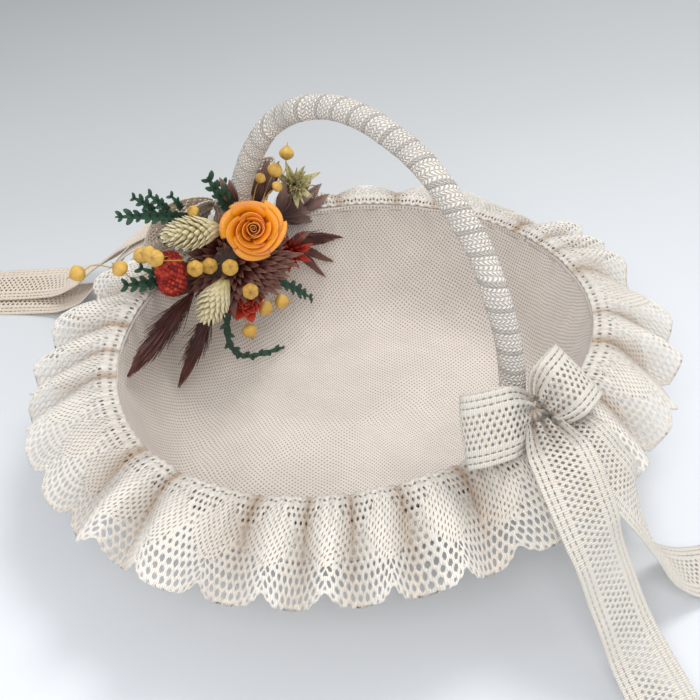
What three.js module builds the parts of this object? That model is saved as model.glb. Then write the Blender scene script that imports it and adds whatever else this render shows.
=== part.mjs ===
// Flower girl basket: a shallow oval bowl lined in linen, with a gathered lace ruffle round the rim,
// an upright wrapped handle, a ribbon bow at each handle foot and a spray of dried flowers at one of them.
// Millimetres, +Z up. The origin is the centre of the base's underside, X is the oval's long way,
// and the handle stands in the YZ plane.
import * as THREE from 'three';

// Driving dimensions
const OPENING_X = 110; // half length of the opening, to the lining's inner face
const OPENING_Y = 91.3; // half width of the opening
const RIM_HEIGHT = 60;
const RIM_SADDLE = 2.9; // how far the rim's sides rise and its ends dip
const FLOOR_HEIGHT = 7.2; // top of the lining on the floor
const FLOOR_X = 74; // half length of the flat part of the floor
const CLOTH = 0.8; // thickness of the lining and the outer cover
const BOARD = 1.5;
const SHELL = 2.2; // thickness of the stiff moulded bowl
const GAP = 0.3; // clearance between touching pieces
const COVER_EASE = 0.7; // the outer cover hangs a little looser
const RUFFLE_FOLDS = 36;
const RUFFLE_CLOTH = 1.2;
const HANDLE_HALF_SPAN = 84;
const HANDLE_SPRING = 57.3; // height at which the handle's arch starts
const HANDLE_RISE = 103.2; // from there up to the arch's centreline
const HANDLE_ROUNDNESS = 2.06; // superellipse power, 2 being an ellipse
const HANDLE_RADIUS = 5.2;
const HANDLE_WIRE_RADIUS = 1.8;
const RIBBON_WIDTH = 26;
const RIBBON_CLOTH = 0.8;
const POD_RADIUS = 3.6;
const SIDES_ROUND = 48; // segments round the oval

const LONG_LESS_SHORT = OPENING_X - OPENING_Y;
const BLOOM_FACING = new THREE.Vector3(-0.52, -0.66, 0.54); // the way the blooms face

function material(color, roughness, metalness = 0) {
  return new THREE.MeshStandardMaterial({ color, roughness, metalness });
}

const linen = material('#d9cbb8', 0.9);
const lace = material('#efe3d0', 0.9);
const tape = material('#cfc6ba', 0.9);
const card = material('#b79a76', 0.85);
const wire = material('#8d9094', 0.4, 1);
const felt = material('#d8cdbb', 0.95);
const stemGreen = material('#5b6b3a', 0.8);
const rosePetal = material('#f29a16', 0.6);
const redBloom = material('#a01a14', 0.8);
const paleSeed = material('#cfc38a', 0.8);
const podSkin = material('#c2912f', 0.5);
const leafGreen = material('#173f2c', 0.6);
const plumeBrown = material('#4a201a', 0.8);

const basket = new THREE.Group();

function addPiece(name, geometry, finish, parent = basket) {
  const mesh = new THREE.Mesh(geometry, finish);
  mesh.name = name;
  parent.add(mesh);
  return mesh;
}

// Cuts the squares of a grid along their other diagonal. The two faces of a thin piece that twists
// stay apart only if both are cut along matching diagonals.
function cutOtherWay(index, firstSquare, squares) {
  for (let start = 6 * firstSquare; start < 6 * (firstSquare + squares); start += 6) {
    const [a, b, d, ...others] = Array.from({ length: 6 }, (_, k) => index.getX(start + k));
    const c = others.find((corner) => corner !== b && corner !== d);
    [a, b, c, a, c, d].forEach((corner, k) => index.setX(start + k, corner));
  }
}

// Oval pieces: a profile is turned round the Z axis, then squeezed into the oval and its saddle.

// Half width of the oval ring whose half length is `halfLength`.
function ovalHalfWidth(halfLength) {
  if (halfLength > FLOOR_X) return halfLength - LONG_LESS_SHORT;
  return halfLength * (FLOOR_X - LONG_LESS_SHORT) / FLOOR_X;
}

function saddleLift(angle, height) {
  return -RIM_SADDLE * Math.cos(2 * angle) * (height / RIM_HEIGHT) ** 2;
}

// `waveAt(halfLength, angle)` lifts a gathered piece into folds.
function ovalGeometry(profile, segments = SIDES_ROUND, waveAt = () => 0) {
  const geometry = new THREE.LatheGeometry(profile.map(([r, z]) => new THREE.Vector2(r, z)), segments);
  geometry.rotateX(Math.PI / 2);
  const position = geometry.attributes.position;
  for (let i = 0; i < position.count; i += 1) {
    const radius = Math.hypot(position.getX(i), position.getY(i));
    const angle = Math.atan2(position.getY(i), position.getX(i));
    const height = position.getZ(i);
    const lift = saddleLift(angle, height) + waveAt(radius, angle);
    position.setXYZ(i, radius * Math.cos(angle), ovalHalfWidth(radius) * Math.sin(angle), height + lift);
  }
  return geometry;
}

// The lining's inner face, from the flat of the floor out and up to the rim.
const wallCurve = new THREE.SplineCurve([
  [FLOOR_X, FLOOR_HEIGHT], [80, FLOOR_HEIGHT + 0.4], [88, 11.5], [95.5, 20], [101, 31.5], [106, 46],
  [OPENING_X, RIM_HEIGHT],
].map(([r, z]) => new THREE.Vector2(r, z)));

// Points along the wall, `offset` outside the lining's inner face, over a share of the wall's length.
function wallLine(offset, from = 0, to = 1, steps = 6) {
  return Array.from({ length: steps + 1 }, (_, i) => {
    const share = from + (to - from) * i / steps;
    const point = wallCurve.getPoint(share);
    const along = share === 0 ? new THREE.Vector2(1, 0) : wallCurve.getTangent(share);
    return [point.x + along.y * offset, point.y - along.x * offset];
  });
}

// A bowl between two offsets, closed over the floor.
function bowlProfile(inside, outside, to = 1) {
  return [
    [0, FLOOR_HEIGHT - outside], ...wallLine(outside, 0, to),
    ...wallLine(inside, 0, to).reverse(), [0, FLOOR_HEIGHT - inside],
  ];
}

// A band between two offsets, over a share of the wall.
function bandProfile(inside, outside, from, to, steps) {
  const outer = wallLine(outside, from, to, steps);
  return [...outer, ...wallLine(inside, from, to, steps).reverse(), outer[0]];
}

function discProfile(radius, bottom, top) {
  return [[0, bottom], [radius, bottom], [radius, top], [0, top]];
}

function circleProfile(radius, height, thickness, sides) {
  return Array.from({ length: sides + 1 }, (_, i) => {
    const turn = 2 * Math.PI * (i % sides) / sides;
    return [radius + thickness * Math.cos(turn), height + thickness * Math.sin(turn)];
  });
}

function addBowl() {
  const boardTop = FLOOR_HEIGHT - CLOTH - GAP;
  const shellInside = CLOTH + GAP + BOARD + GAP;
  const baseTop = FLOOR_HEIGHT - shellInside - SHELL - GAP;
  addPiece('base_pad', ovalGeometry(discProfile(80, 0, baseTop)), felt);
  addPiece('bowl_shell', ovalGeometry(bowlProfile(shellInside, shellInside + SHELL, 0.94)), card);
  addPiece('base_board', ovalGeometry(discProfile(70, boardTop - BOARD, boardTop)), card);
  addPiece('lining', ovalGeometry(bowlProfile(0, CLOTH)), linen);
  const coverInside = shellInside + SHELL + COVER_EASE;
  addPiece('outer_cover', ovalGeometry(bandProfile(coverInside, coverInside + CLOTH, 0.2, 0.99, 5)), linen);
  return coverInside + CLOTH + GAP;
}

function addRim(tapeInside) {
  const outerEdge = OPENING_X + tapeInside + CLOTH;
  addPiece('rim_wire', ovalGeometry(circleProfile(OPENING_X + 3.2, RIM_HEIGHT - 1.9, 1.2, 6)), wire);
  addPiece('gathering_tape', ovalGeometry(bandProfile(tapeInside, tapeInside + CLOTH, 0.86, 0.98, 1)), tape);
  addPiece('rim_binding', ovalGeometry([
    [OPENING_X - 0.4, RIM_HEIGHT + GAP], [outerEdge, RIM_HEIGHT + GAP],
    [outerEdge, RIM_HEIGHT + GAP + CLOTH], [OPENING_X - 0.4, RIM_HEIGHT + GAP + CLOTH],
    [OPENING_X - 0.4, RIM_HEIGHT + GAP],
  ]), linen);
}

// The ruffle lies over the rim and droops outwards, and its folds deepen towards its edge.
function addRuffle() {
  const stations = [ // half length, height, depth of fold
    [110.6, 62.4, 0], [118, 62.6, 0.3], [132.5, 56, 3], [147.5, 45.5, 5],
  ];
  const foldDepth = (radius) => {
    const next = Math.max(1, stations.findIndex(([r]) => r >= radius - 0.01));
    const [r0, , depth0] = stations[next - 1];
    const [r1, , depth1] = stations[next];
    return THREE.MathUtils.mapLinear(radius, r0, r1, depth0, depth1);
  };
  const top = stations.map(([r, z]) => [r, z + RUFFLE_CLOTH / 2]);
  const underside = stations.map(([r, z]) => [r, z - RUFFLE_CLOTH / 2]);
  const profile = [...underside, ...top.reverse(), underside[0]];
  const wave = (radius, angle) => foldDepth(radius) * Math.cos(RUFFLE_FOLDS * angle);
  const segments = RUFFLE_FOLDS * 4;
  const geometry = ovalGeometry(profile, segments, wave);
  for (let segment = 0; segment < segments; segment += 1) {
    const firstOnTop = segment * (profile.length - 1) + stations.length;
    cutOtherWay(geometry.index, firstOnTop, stations.length - 1);
  }
  addPiece('lace_ruffle', geometry, lace);
}

// The handle: a wire in a wrapped sleeve of tape, an arch whose legs turn in along the bowl's wall.

const LEG_END = new THREE.Vector3(0, 76, 38);
const LEG_BEND = new THREE.Vector3(0, 80.5, 50);

class HandleArch extends THREE.Curve {
  getPoint(share, target = new THREE.Vector3()) {
    const angle = Math.PI * share;
    const power = 2 / HANDLE_ROUNDNESS;
    const across = Math.sign(Math.cos(angle)) * Math.abs(Math.cos(angle)) ** power;
    const up = Math.abs(Math.sin(angle)) ** power;
    return target.set(0, HANDLE_HALF_SPAN * across, HANDLE_SPRING + HANDLE_RISE * up);
  }
}

function handlePath() {
  const arch = new HandleArch().getSpacedPoints(20);
  const leg = [LEG_END, LEG_BEND];
  const otherLeg = leg.map((point) => new THREE.Vector3(0, -point.y, point.z)).reverse();
  const path = new THREE.CurvePath();
  const stops = [...leg, ...arch, ...otherLeg];
  stops.slice(1).forEach((stop, i) => path.add(new THREE.LineCurve3(stops[i], stop)));
  return path;
}

function circle(radius) {
  return new THREE.Shape().absarc(0, 0, radius, 0, 2 * Math.PI);
}

function ringShape(outer, inner) {
  const shape = circle(outer);
  shape.holes.push(new THREE.Path().absarc(0, 0, inner, 0, 2 * Math.PI, true));
  return shape;
}

function addHandle() {
  const extrudePath = handlePath();
  const along = { extrudePath, steps: 32 };
  addPiece('handle_core', new THREE.ExtrudeGeometry(circle(HANDLE_WIRE_RADIUS), { ...along, curveSegments: 3 }), wire);
  const wrap = ringShape(HANDLE_RADIUS, HANDLE_WIRE_RADIUS + GAP);
  addPiece('handle_wrap', new THREE.ExtrudeGeometry(wrap, { ...along, curveSegments: 5 }), tape);
  for (const [name, side] of [['left', 1], ['right', -1]]) addHandleFoot(name, side);
}

// Each leg ends in a fabric sleeve sewn to the wall, and a turn of floral wire holds its bow.
function addHandleFoot(name, side) {
  const end = new THREE.Vector3(0, side * LEG_END.y, LEG_END.z);
  const bend = new THREE.Vector3(0, side * LEG_BEND.y, LEG_BEND.z);
  const sleeveShape = ringShape(HANDLE_RADIUS + 1.6, HANDLE_RADIUS + 0.8);
  const sleeve = addPiece(`handle_sleeve_${name}`, new THREE.ExtrudeGeometry(sleeveShape, {
    depth: 9, curveSegments: 6, bevelEnabled: false,
  }), linen);
  sleeve.position.copy(end).lerp(bend, 0.05);
  sleeve.quaternion.setFromUnitVectors(new THREE.Vector3(0, 0, 1), bend.sub(end).normalize());
  const turn = addPiece(`bow_wire_${name}`, new THREE.TorusGeometry(HANDLE_RADIUS + 1.1, 0.5, 5, 20), wire);
  turn.position.set(0, side * 83.2, 67.5);
}

// Bows: a knot, two loops and two tails of lace ribbon.

// Bends a box, built with its length along X, its width along Y and its thickness along Z.
function ribbonGeometry(stops, width = RIBBON_WIDTH) {
  const steps = 14;
  const route = new THREE.CatmullRomCurve3(stops.map((stop) => new THREE.Vector3(...stop)));
  const geometry = new THREE.BoxGeometry(1, width, RIBBON_CLOTH, steps, 1, 1);
  const position = geometry.attributes.position;
  for (let i = 0; i < position.count; i += 1) {
    const share = Math.round((position.getX(i) + 0.5) * steps) / steps;
    const along = route.getTangentAt(share);
    const side = new THREE.Vector3(-along.y, along.x, 0).normalize();
    const out = new THREE.Vector3().crossVectors(along, side);
    const point = route.getPointAt(share);
    point.addScaledVector(side, position.getY(i));
    point.addScaledVector(out, position.getZ(i));
    position.setXYZ(i, point.x, point.y, point.z);
  }
  const back = geometry.groups[5];
  cutOtherWay(geometry.index, back.start / 6, back.count / 6);
  return geometry;
}

// Half the outline of a teardrop whose point is at the knot.
function teardrop(path, start, length, half) {
  path.moveTo(start, -0.1 * half);
  path.bezierCurveTo(0.45 * length, -1.3 * half, length, -1.3 * half, length, 0);
  path.bezierCurveTo(length, 1.3 * half, 0.45 * length, 1.3 * half, start, 0.1 * half);
  path.closePath();
  return path;
}

// A loop of ribbon reaching from the knot along `along`, with the ribbon's width along `across`.
function addLoop(name, knotSide, along, across, length = 34, half = 6.5) {
  const shape = teardrop(new THREE.Shape(), 0, length, half);
  shape.holes.push(teardrop(new THREE.Path(), 3, length - RIBBON_CLOTH, half - RIBBON_CLOTH));
  const geometry = new THREE.ExtrudeGeometry(shape, {
    depth: RIBBON_WIDTH - 2, curveSegments: 5, bevelEnabled: false,
  });
  geometry.translate(0, 0, -RIBBON_WIDTH / 2 + 1);
  const x = new THREE.Vector3(...along).normalize();
  const z = new THREE.Vector3(...across);
  z.addScaledVector(x, -z.dot(x)).normalize();
  const y = new THREE.Vector3().crossVectors(z, x);
  const loop = addPiece(name, geometry, lace);
  loop.quaternion.setFromRotationMatrix(new THREE.Matrix4().makeBasis(x, y, z));
  loop.position.set(...knotSide);
}

function addKnot(name, centre) {
  const knot = addPiece(name, new THREE.SphereGeometry(1, 10, 8), lace);
  knot.scale.set(5.5, 4.2, 6.5);
  knot.position.set(...centre);
}

function addRightBow() {
  addKnot('right_bow_knot', [-5, -96.5, 75]);
  addLoop('right_bow_loop_front', [-11.5, -96.8, 80], [-0.95, 0.15, 0.25], [0.3, 0.45, 0.8], 30, 3.6);
  addLoop('right_bow_loop_back', [9.5, -97.5, 81], [0.96, 0.24, -0.08], [-0.14, 0.81, 0.57], 20, 3.6);
  addPiece('right_bow_tail_long', ribbonGeometry([
    [-7, -107, 75.4], [-10, -115, 73.4], [-15, -126, 68.5], [-18, -138, 57], [-18, -149, 38],
    [-19, -164, 18], [-24, -182, 8], [-33, -203, 3], [-45, -226, 1.6],
  ]), lace);
  addPiece('right_bow_tail_short', ribbonGeometry([
    [9, -102, 70.5], [8, -110, 69], [7, -121, 65.5], [9, -133, 57.5], [14, -140, 41],
    [23, -146, 18], [37, -153, 4.5], [56, -163, 1.2], [78, -177, 1],
  ]), lace);
}

function addLeftBow() {
  addKnot('left_bow_knot', [2, 97.5, 75]);
  addLoop('left_bow_loop_front', [-4.5, 97.6, 80], [-1, 0, 0.06], [0.1, -0.45, 0.88], 34, 4);
  addLoop('left_bow_loop_back', [8.5, 98, 80], [1, 0.06, 0], [0, -0.2, 0.97], 27, 4);
  addPiece('left_bow_tail_long', ribbonGeometry([
    [-8, 113, 70.8], [-11.5, 120, 67.8], [-16, 128, 62], [-22, 140, 51], [-27, 153, 36],
    [-31, 168, 20], [-37, 184, 9], [-47, 199, 4.4], [-66, 216, 3.6], [-92, 237, 3.4],
  ]), lace);
  addPiece('left_bow_tail_short', ribbonGeometry([
    [-6, 106.5, 68.2], [-12, 116, 65], [-19, 127, 58.6], [-25, 138, 47.5], [-31, 150, 31],
    [-36, 163, 14], [-42, 177, 4.5], [-54, 192, 1.2], [-72, 209, 1], [-90, 224, 1],
  ]), lace);
}

// The spray of flowers. Each piece is turned from +Z to face along `toward`.

function turnedGeometry(profile, segments) {
  const geometry = new THREE.LatheGeometry(profile.map(([r, z]) => new THREE.Vector2(r, z)), segments);
  return geometry.rotateX(Math.PI / 2);
}

function addFacing(name, geometry, finish, at, toward) {
  const piece = addPiece(name, geometry, finish);
  piece.position.set(...at);
  piece.quaternion.setFromUnitVectors(new THREE.Vector3(0, 0, 1), new THREE.Vector3(...toward).normalize());
}

// A flat leaf lies between its base and its tip, and turns its face to the blooms' side.
function addLeaf(name, outline, finish, base, tip) {
  const shape = new THREE.Shape(outline.map(([x, y]) => new THREE.Vector2(x, y)));
  const geometry = new THREE.ExtrudeGeometry(shape, { depth: 0.6, bevelEnabled: false });
  const x = new THREE.Vector3(...tip).sub(new THREE.Vector3(...base));
  const length = x.length();
  x.normalize();
  const z = BLOOM_FACING.clone().addScaledVector(x, -BLOOM_FACING.dot(x)).normalize();
  const y = new THREE.Vector3().crossVectors(z, x);
  const leaf = addPiece(name, geometry.scale(length, length, 1), finish);
  leaf.quaternion.setFromRotationMatrix(new THREE.Matrix4().makeBasis(x, y, z));
  leaf.position.set(...base);
}

// Outlines are for a leaf one unit long. An oak leaf has pairs of lobes with deep bays between them.
function oakOutline(lobes = 3) {
  const side = [[0, 0.03]];
  for (let i = 0; i < lobes; i += 1) {
    const start = 0.12 + 0.72 * i / lobes;
    const reach = 0.24 - 0.05 * i;
    side.push([start, 0.05], [start + 0.1, reach], [start + 0.19, reach], [start + 0.17, 0.06]);
  }
  const mirrored = side.map(([x, y]) => [x, -y]);
  return [...mirrored, [0.9, -0.07], [1, 0], [0.9, 0.07], ...side.reverse()];
}

const pointedOutline = [[0, -0.03], [0.3, -0.13], [0.65, -0.1], [1, 0], [0.65, 0.1], [0.3, 0.13], [0, 0.03]];

function spindle(length, radius, segments) {
  return turnedGeometry([
    [0, 0], [0.75 * radius, 0.15 * length], [radius, 0.42 * length], [0.8 * radius, 0.72 * length],
    [0.3 * radius, 0.93 * length], [0, length],
  ], segments);
}

function between(base, tip) {
  return base.map((value, i) => tip[i] - value);
}

function distance(base, tip) {
  return Math.hypot(...between(base, tip));
}

function addBlooms() {
  const facing = BLOOM_FACING.toArray();
  const roseBase = [-3.3, 67.2, 81];
  addFacing('rose', turnedGeometry([
    [0, 0], [6, 0.8], [11.5, 5.5], [13, 12], [11, 17.5], [5.5, 21], [0, 20.5],
  ], 14), rosePetal, roseBase, facing);
  addFacing('rose_calyx', turnedGeometry([[0, -6], [1.2, -6], [1.6, -3], [5, -0.5], [0, -0.5]], 8),
    stemGreen, roseBase, facing);
  for (const [name, base, tip] of [
    ['canary_grass_upper', [-13, 77.5, 81], [-45, 74, 93]], ['canary_grass_lower', [-21, 66, 63], [-38, 63, 49]],
  ]) {
    addFacing(name, spindle(distance(base, tip), 7, 10), paleSeed, base, between(base, tip));
  }
  addFacing('love_in_a_mist', spindle(17, 9, 10), paleSeed, [40, 89, 77], facing);
  addFacing('red_bloom_left', spindle(21, 7, 10), redBloom, [-45, 75, 83], [0.08, 0, -1]);
  addFacing('red_bloom_right', spindle(17, 9, 10), redBloom, [27, 79, 49.5], facing);
  addFacing('red_bloom_front', spindle(14, 7.5, 10), redBloom, [-9, 67.5, 44], facing);
}

// Flax pods: round seed heads with a pointed tip, each on the end of its stem.
function addPods() {
  const pod = turnedGeometry([
    [0, -4], [0.5, -4], [0.5, 0], [0.85 * POD_RADIUS, 1.4], [POD_RADIUS, 3.8], [0.6 * POD_RADIUS, 6.4],
    [0.5, 7.6], [0, 9],
  ], 7);
  const places = [ // centre of the pod, then the way its tip points
    [[-84, 84, 87], [-1, 0.1, -0.1]], [[-65, 82, 82], [-0.6, 0.2, 0.8]], [[-54, 82, 83], [-1, 0, 0.1]],
    [[-55, 74, 88.5], [-0.8, 0, 0.5]], [[-57, 65.5, 91.5], [-0.6, -0.4, 0.6]], [[-38, 65, 77.5], [-0.5, -0.6, 0.5]],
    [[-28, 68, 72.5], [-0.3, -0.7, 0.4]], [[-25, 57, 76], [-0.4, -0.6, 0.6]], [[-18.5, 52, 62.5], [-0.5, -0.7, 0.5]],
    [[-4.5, 59, 42], [0.2, -0.8, 0]], [[4.5, 58, 42], [0.5, -0.7, 0]], [[-15, 59, 34], [-0.2, -0.7, -0.6]],
    [[40, 93.5, 93], [0.5, 0.4, 0.8]], [[18, 75.5, 100], [0.3, -0.3, 0.9]],
  ];
  places.forEach(([centre, toward], i) => {
    const middle = new THREE.Vector3(...toward).setLength(-3.8);
    addFacing(`flax_pod_${i + 1}`, pod, podSkin, middle.add(new THREE.Vector3(...centre)).toArray(), toward);
  });
}

function addFoliage() {
  const oak = oakOutline();
  addLeaf('oak_leaf_upper_left', oak, leafGreen, [-25, 87, 88], [-61, 86, 105]);
  addLeaf('oak_leaf_top', oak, leafGreen, [-10.5, 79, 90], [-19, 81, 110]);
  addLeaf('oak_leaf_lower_left', oak, leafGreen, [-49, 78, 64], [-66, 79, 76]);
  addLeaf('oak_leaf_right', oak, leafGreen, [0.5, 68, 55], [31, 64, 27]);
  addPiece('curled_tendril', new THREE.ExtrudeGeometry(circle(0.8), {
    steps: 14, curveSegments: 5, extrudePath: new THREE.CatmullRomCurve3([
      [-28, 58, 52], [-29, 57, 38], [-24, 57.5, 27], [-14, 59, 19], [6, 60, 12.5],
    ].map((stop) => new THREE.Vector3(...stop))),
  }), leafGreen);
  for (const [name, base, tip] of [
    ['grass_plume_left', [-45, 68, 58], [-93, 44, 63]], ['grass_plume_lower', [-38, 56, 49], [-57, 58, 25]],
    ['grass_plume_right', [36, 72, 62], [51, 66, 54]],
  ]) {
    addFacing(name, spindle(distance(base, tip), 4, 6), plumeBrown, base, between(base, tip));
  }
  addLeaf('dry_leaf_upper', pointedOutline, plumeBrown, [16, 85, 82], [19, 87, 101]);
  addLeaf('dry_leaf_right', pointedOutline, plumeBrown, [36, 86, 66.5], [56, 89, 74]);
}

function addSprayBacking() {
  const pad = addPiece('spray_backing', new THREE.SphereGeometry(1, 14, 8), felt);
  pad.scale.set(19, 3.8, 12);
  pad.position.set(-7, 72.4, 65);
  addFacing('stem_bundle', turnedGeometry([[0, 0], [2.6, 0], [2.2, 13], [0, 13]], 8), stemGreen,
    [11, 74.5, 54], [0.1, -0.15, -1]);
}

addRim(addBowl());
addRuffle();
addHandle();
addRightBow();
addLeftBow();
addSprayBacking();
addBlooms();
addPods();
addFoliage();

export default basket;
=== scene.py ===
"""Looks of the flower girl basket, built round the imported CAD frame. Metres, +Z up."""
import math

import bpy
import numpy as np
from mathutils import Matrix, Vector


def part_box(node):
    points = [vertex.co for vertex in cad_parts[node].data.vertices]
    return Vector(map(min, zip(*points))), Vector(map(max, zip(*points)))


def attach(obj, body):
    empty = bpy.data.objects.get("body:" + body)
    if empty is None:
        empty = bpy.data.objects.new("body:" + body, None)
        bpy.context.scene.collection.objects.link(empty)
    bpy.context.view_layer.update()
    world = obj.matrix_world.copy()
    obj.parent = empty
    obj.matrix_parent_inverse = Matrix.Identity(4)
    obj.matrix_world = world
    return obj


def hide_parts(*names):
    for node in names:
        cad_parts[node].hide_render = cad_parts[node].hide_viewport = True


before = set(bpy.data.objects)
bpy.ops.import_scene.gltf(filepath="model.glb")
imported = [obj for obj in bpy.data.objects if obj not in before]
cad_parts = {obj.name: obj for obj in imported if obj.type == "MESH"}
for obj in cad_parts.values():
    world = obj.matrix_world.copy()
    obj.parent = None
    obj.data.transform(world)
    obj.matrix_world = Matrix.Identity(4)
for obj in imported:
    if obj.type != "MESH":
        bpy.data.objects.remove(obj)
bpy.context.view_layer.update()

MM = 0.001
TAU = 2 * math.pi

# Sizes that the pieces share, worked out from the frame.
CLOTH = 0.8 * MM
SADDLE = 2.9 * MM
LINING_LOW, LINING_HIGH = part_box("lining")
OPEN_X = LINING_HIGH.x - CLOTH
OPEN_Y = LINING_HIGH.y - CLOTH
RIM_Z = LINING_HIGH.z - SADDLE
FLOOR_Z = LINING_LOW.z + CLOTH
FLOOR_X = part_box("base_board")[1].x + 4 * MM
BLOOM_SIDE = Vector((-0.52, -0.66, 0.54)).normalized()

# Lace: one scallop of the ruffle is SCALLOP_COLUMNS cells wide.
SCALLOPS = 36
SCALLOP_COLUMNS = 10
LACE_PITCH = 3.1 * MM
RUFFLE_FOLDS = 25
RIBBON_WIDTH = 26 * MM
RIBBON_PITCH = 2.5 * MM
SCALLOP_WIDTH = SCALLOP_COLUMNS * LACE_PITCH

# Handle: a superellipse arch in millimetres, bound in tape.
HANDLE_HALF_SPAN = 84
HANDLE_SPRING = 57.3  # height where the arch starts
HANDLE_RISE = 103.2
HANDLE_ROUNDNESS = 2.06  # 2 is an ellipse
HANDLE_FOOT = (76, 38)  # how far out and how high each leg ends
BINDING_RADIUS = 4.9 * MM
BINDING_PITCH = 9.4 * MM  # from one turn of the tape to the next

# Folds round the basket of each gathered or puckered cloth, and the sleeves' radius.
LINING_TUCKS = 52
COVER_FOLDS = 60
TAPE_PUCKERS = 96
SLEEVE_RADIUS = 6.3 * MM

GOLDEN_ANGLE = 2.39996  # radians from one petal, seed or leaf of a spiral to the next
ROSE_BASE = np.array((-3.3, 67.2, 81)) * MM

# Camera, in millimetres.
CAMERA_PLACE = (-271.36, -277.51, 362.81)
CAMERA_TARGET = (-12.62, -6.13, 60.0)
CAMERA_LENS = 59.0
CAMERA_ROLL = 0.31  # degrees

# Lights: place in metres, size in metres, power in watts and colour.
LIGHTS = {
    "key": ((0.75, 0.1, 1.75), 0.8, 15.0, (1.0, 0.985, 0.96)),
    "fill": ((-1.0, -0.7, 1.3), 0.9, 13.0, (0.97, 0.985, 1.0)),
}
LIGHTS_AIM = (0, 0, 0.04)
ROOM_COLOUR = (0.93, 0.96, 1.0, 1)
ROOM_STRENGTH = 0.72


# ---------------------------------------------------------------- shaders

class Shader:
    """A Principled material, with short names for the nodes that drive it."""

    def __init__(self, name, **sockets):
        self.material = bpy.data.materials.new(name)
        self.material.use_nodes = True
        self.tree = self.material.node_tree
        self.principled = self.tree.nodes["Principled BSDF"]
        for socket, value in sockets.items():
            self.principled.inputs[socket.replace("_", " ")].default_value = value

    def node(self, kind, settings=None, **inputs):
        made = self.tree.nodes.new(kind)
        for key, value in (settings or {}).items():
            setattr(made, key, value)
        for key, value in inputs.items():
            self.feed(made.inputs[key.replace("_", " ")], value)
        return made

    def feed(self, socket, value):
        if isinstance(value, bpy.types.NodeSocket):
            self.tree.links.new(value, socket)
        else:
            socket.default_value = value

    def math(self, operation, a, b=0.0, clamp=False):
        made = self.node("ShaderNodeMath", {"operation": operation, "use_clamp": clamp})
        self.feed(made.inputs[0], a)
        self.feed(made.inputs[1], b)
        return made.outputs[0]

    def add(self, a, b):
        return self.math("ADD", a, b)

    def times(self, a, b):
        return self.math("MULTIPLY", a, b)

    def wave(self, coordinate, pitch):
        """The height of threads laid side by side: 0 in a gap and 1 on a thread."""
        return self.math("ABSOLUTE", self.math("SINE", self.times(coordinate, math.pi / pitch)))

    def attribute(self, name):
        found = self.node("ShaderNodeAttribute", {"attribute_name": name})
        parts = self.node("ShaderNodeSeparateXYZ", Vector=found.outputs["Vector"])
        return found.outputs["Vector"], parts.outputs

    def place(self):
        return self.node("ShaderNodeTexCoord").outputs["Object"]

    def noise(self, vector, scale, detail=3.0, roughness=0.55):
        made = self.node("ShaderNodeTexNoise", Vector=vector, Scale=scale, Detail=detail, Roughness=roughness)
        return made.outputs["Fac"]

    def ramp(self, factor, *stops):
        made = self.node("ShaderNodeValToRGB", Fac=factor)
        elements = made.color_ramp.elements
        while len(elements) < len(stops):
            elements.new(0.5)
        for element, (position, colour) in zip(elements, stops):
            element.position = position
            element.color = (*colour, 1)
        return made.outputs["Color"]

    def mix(self, factor, a, b, blend="MIX"):
        made = self.node("ShaderNodeMix", {"data_type": "RGBA", "blend_type": blend})
        self.feed(made.inputs["Factor"], factor)
        self.feed(made.inputs[6], a if isinstance(a, bpy.types.NodeSocket) else (*a, 1))
        self.feed(made.inputs[7], b if isinstance(b, bpy.types.NodeSocket) else (*b, 1))
        return made.outputs[2]

    def finish(self, colour, height, depth, strength):
        self.feed(self.principled.inputs["Base Color"], colour)
        bump = self.node("ShaderNodeBump", Height=height, Strength=strength, Distance=depth)
        self.feed(self.principled.inputs["Normal"], bump.outputs["Normal"])
        return self.material


def woven(name, light, dark, gap, pitch):
    """Plain weave on the attribute "cloth", in metres along the threads."""
    s = Shader(name, Roughness=0.9, Sheen_Weight=0.25, Sheen_Roughness=0.5)
    cloth, (u, v, _) = s.attribute("cloth")
    bend = s.times(s.add(s.noise(cloth, 60.0, 1.0), -0.5), 1.6 * pitch)
    u = s.add(u, bend)
    v = s.add(v, bend)
    warp = s.wave(u, pitch)
    weft = s.wave(v, pitch)
    over = s.times(s.math("SINE", s.times(u, math.pi / pitch)), s.math("SINE", s.times(v, math.pi / pitch)))
    lift = s.add(s.times(over, 0.5), 0.5)
    height = s.add(s.times(warp, lift), s.times(weft, s.add(s.times(lift, -1.0), 1.0)))
    solid = s.math("MAXIMUM", s.math("POWER", warp, 0.55), s.math("POWER", weft, 0.55))
    hole = s.math("MULTIPLY", s.add(solid, -0.5), 2.6, clamp=True)
    slub = s.noise(s.node("ShaderNodeMapping", Vector=cloth, Scale=(900.0, 90.0, 1.0)).outputs[0], 1.0, 2.0)
    threads = s.mix(slub, dark, light)
    patches = s.ramp(s.noise(cloth, 22.0, 3.0), (0.3, (0.84,) * 3), (0.7, (1.0, 1.0, 1.0)))
    # Painted shade: the openings between threads take the gap colour.
    colour = s.mix(hole, gap, s.mix(1.0, threads, patches, "MULTIPLY"))
    return s.finish(colour, s.add(s.times(height, 0.7), s.times(slub, 0.3)), depth=0.5 * MM, strength=0.8)


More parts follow.
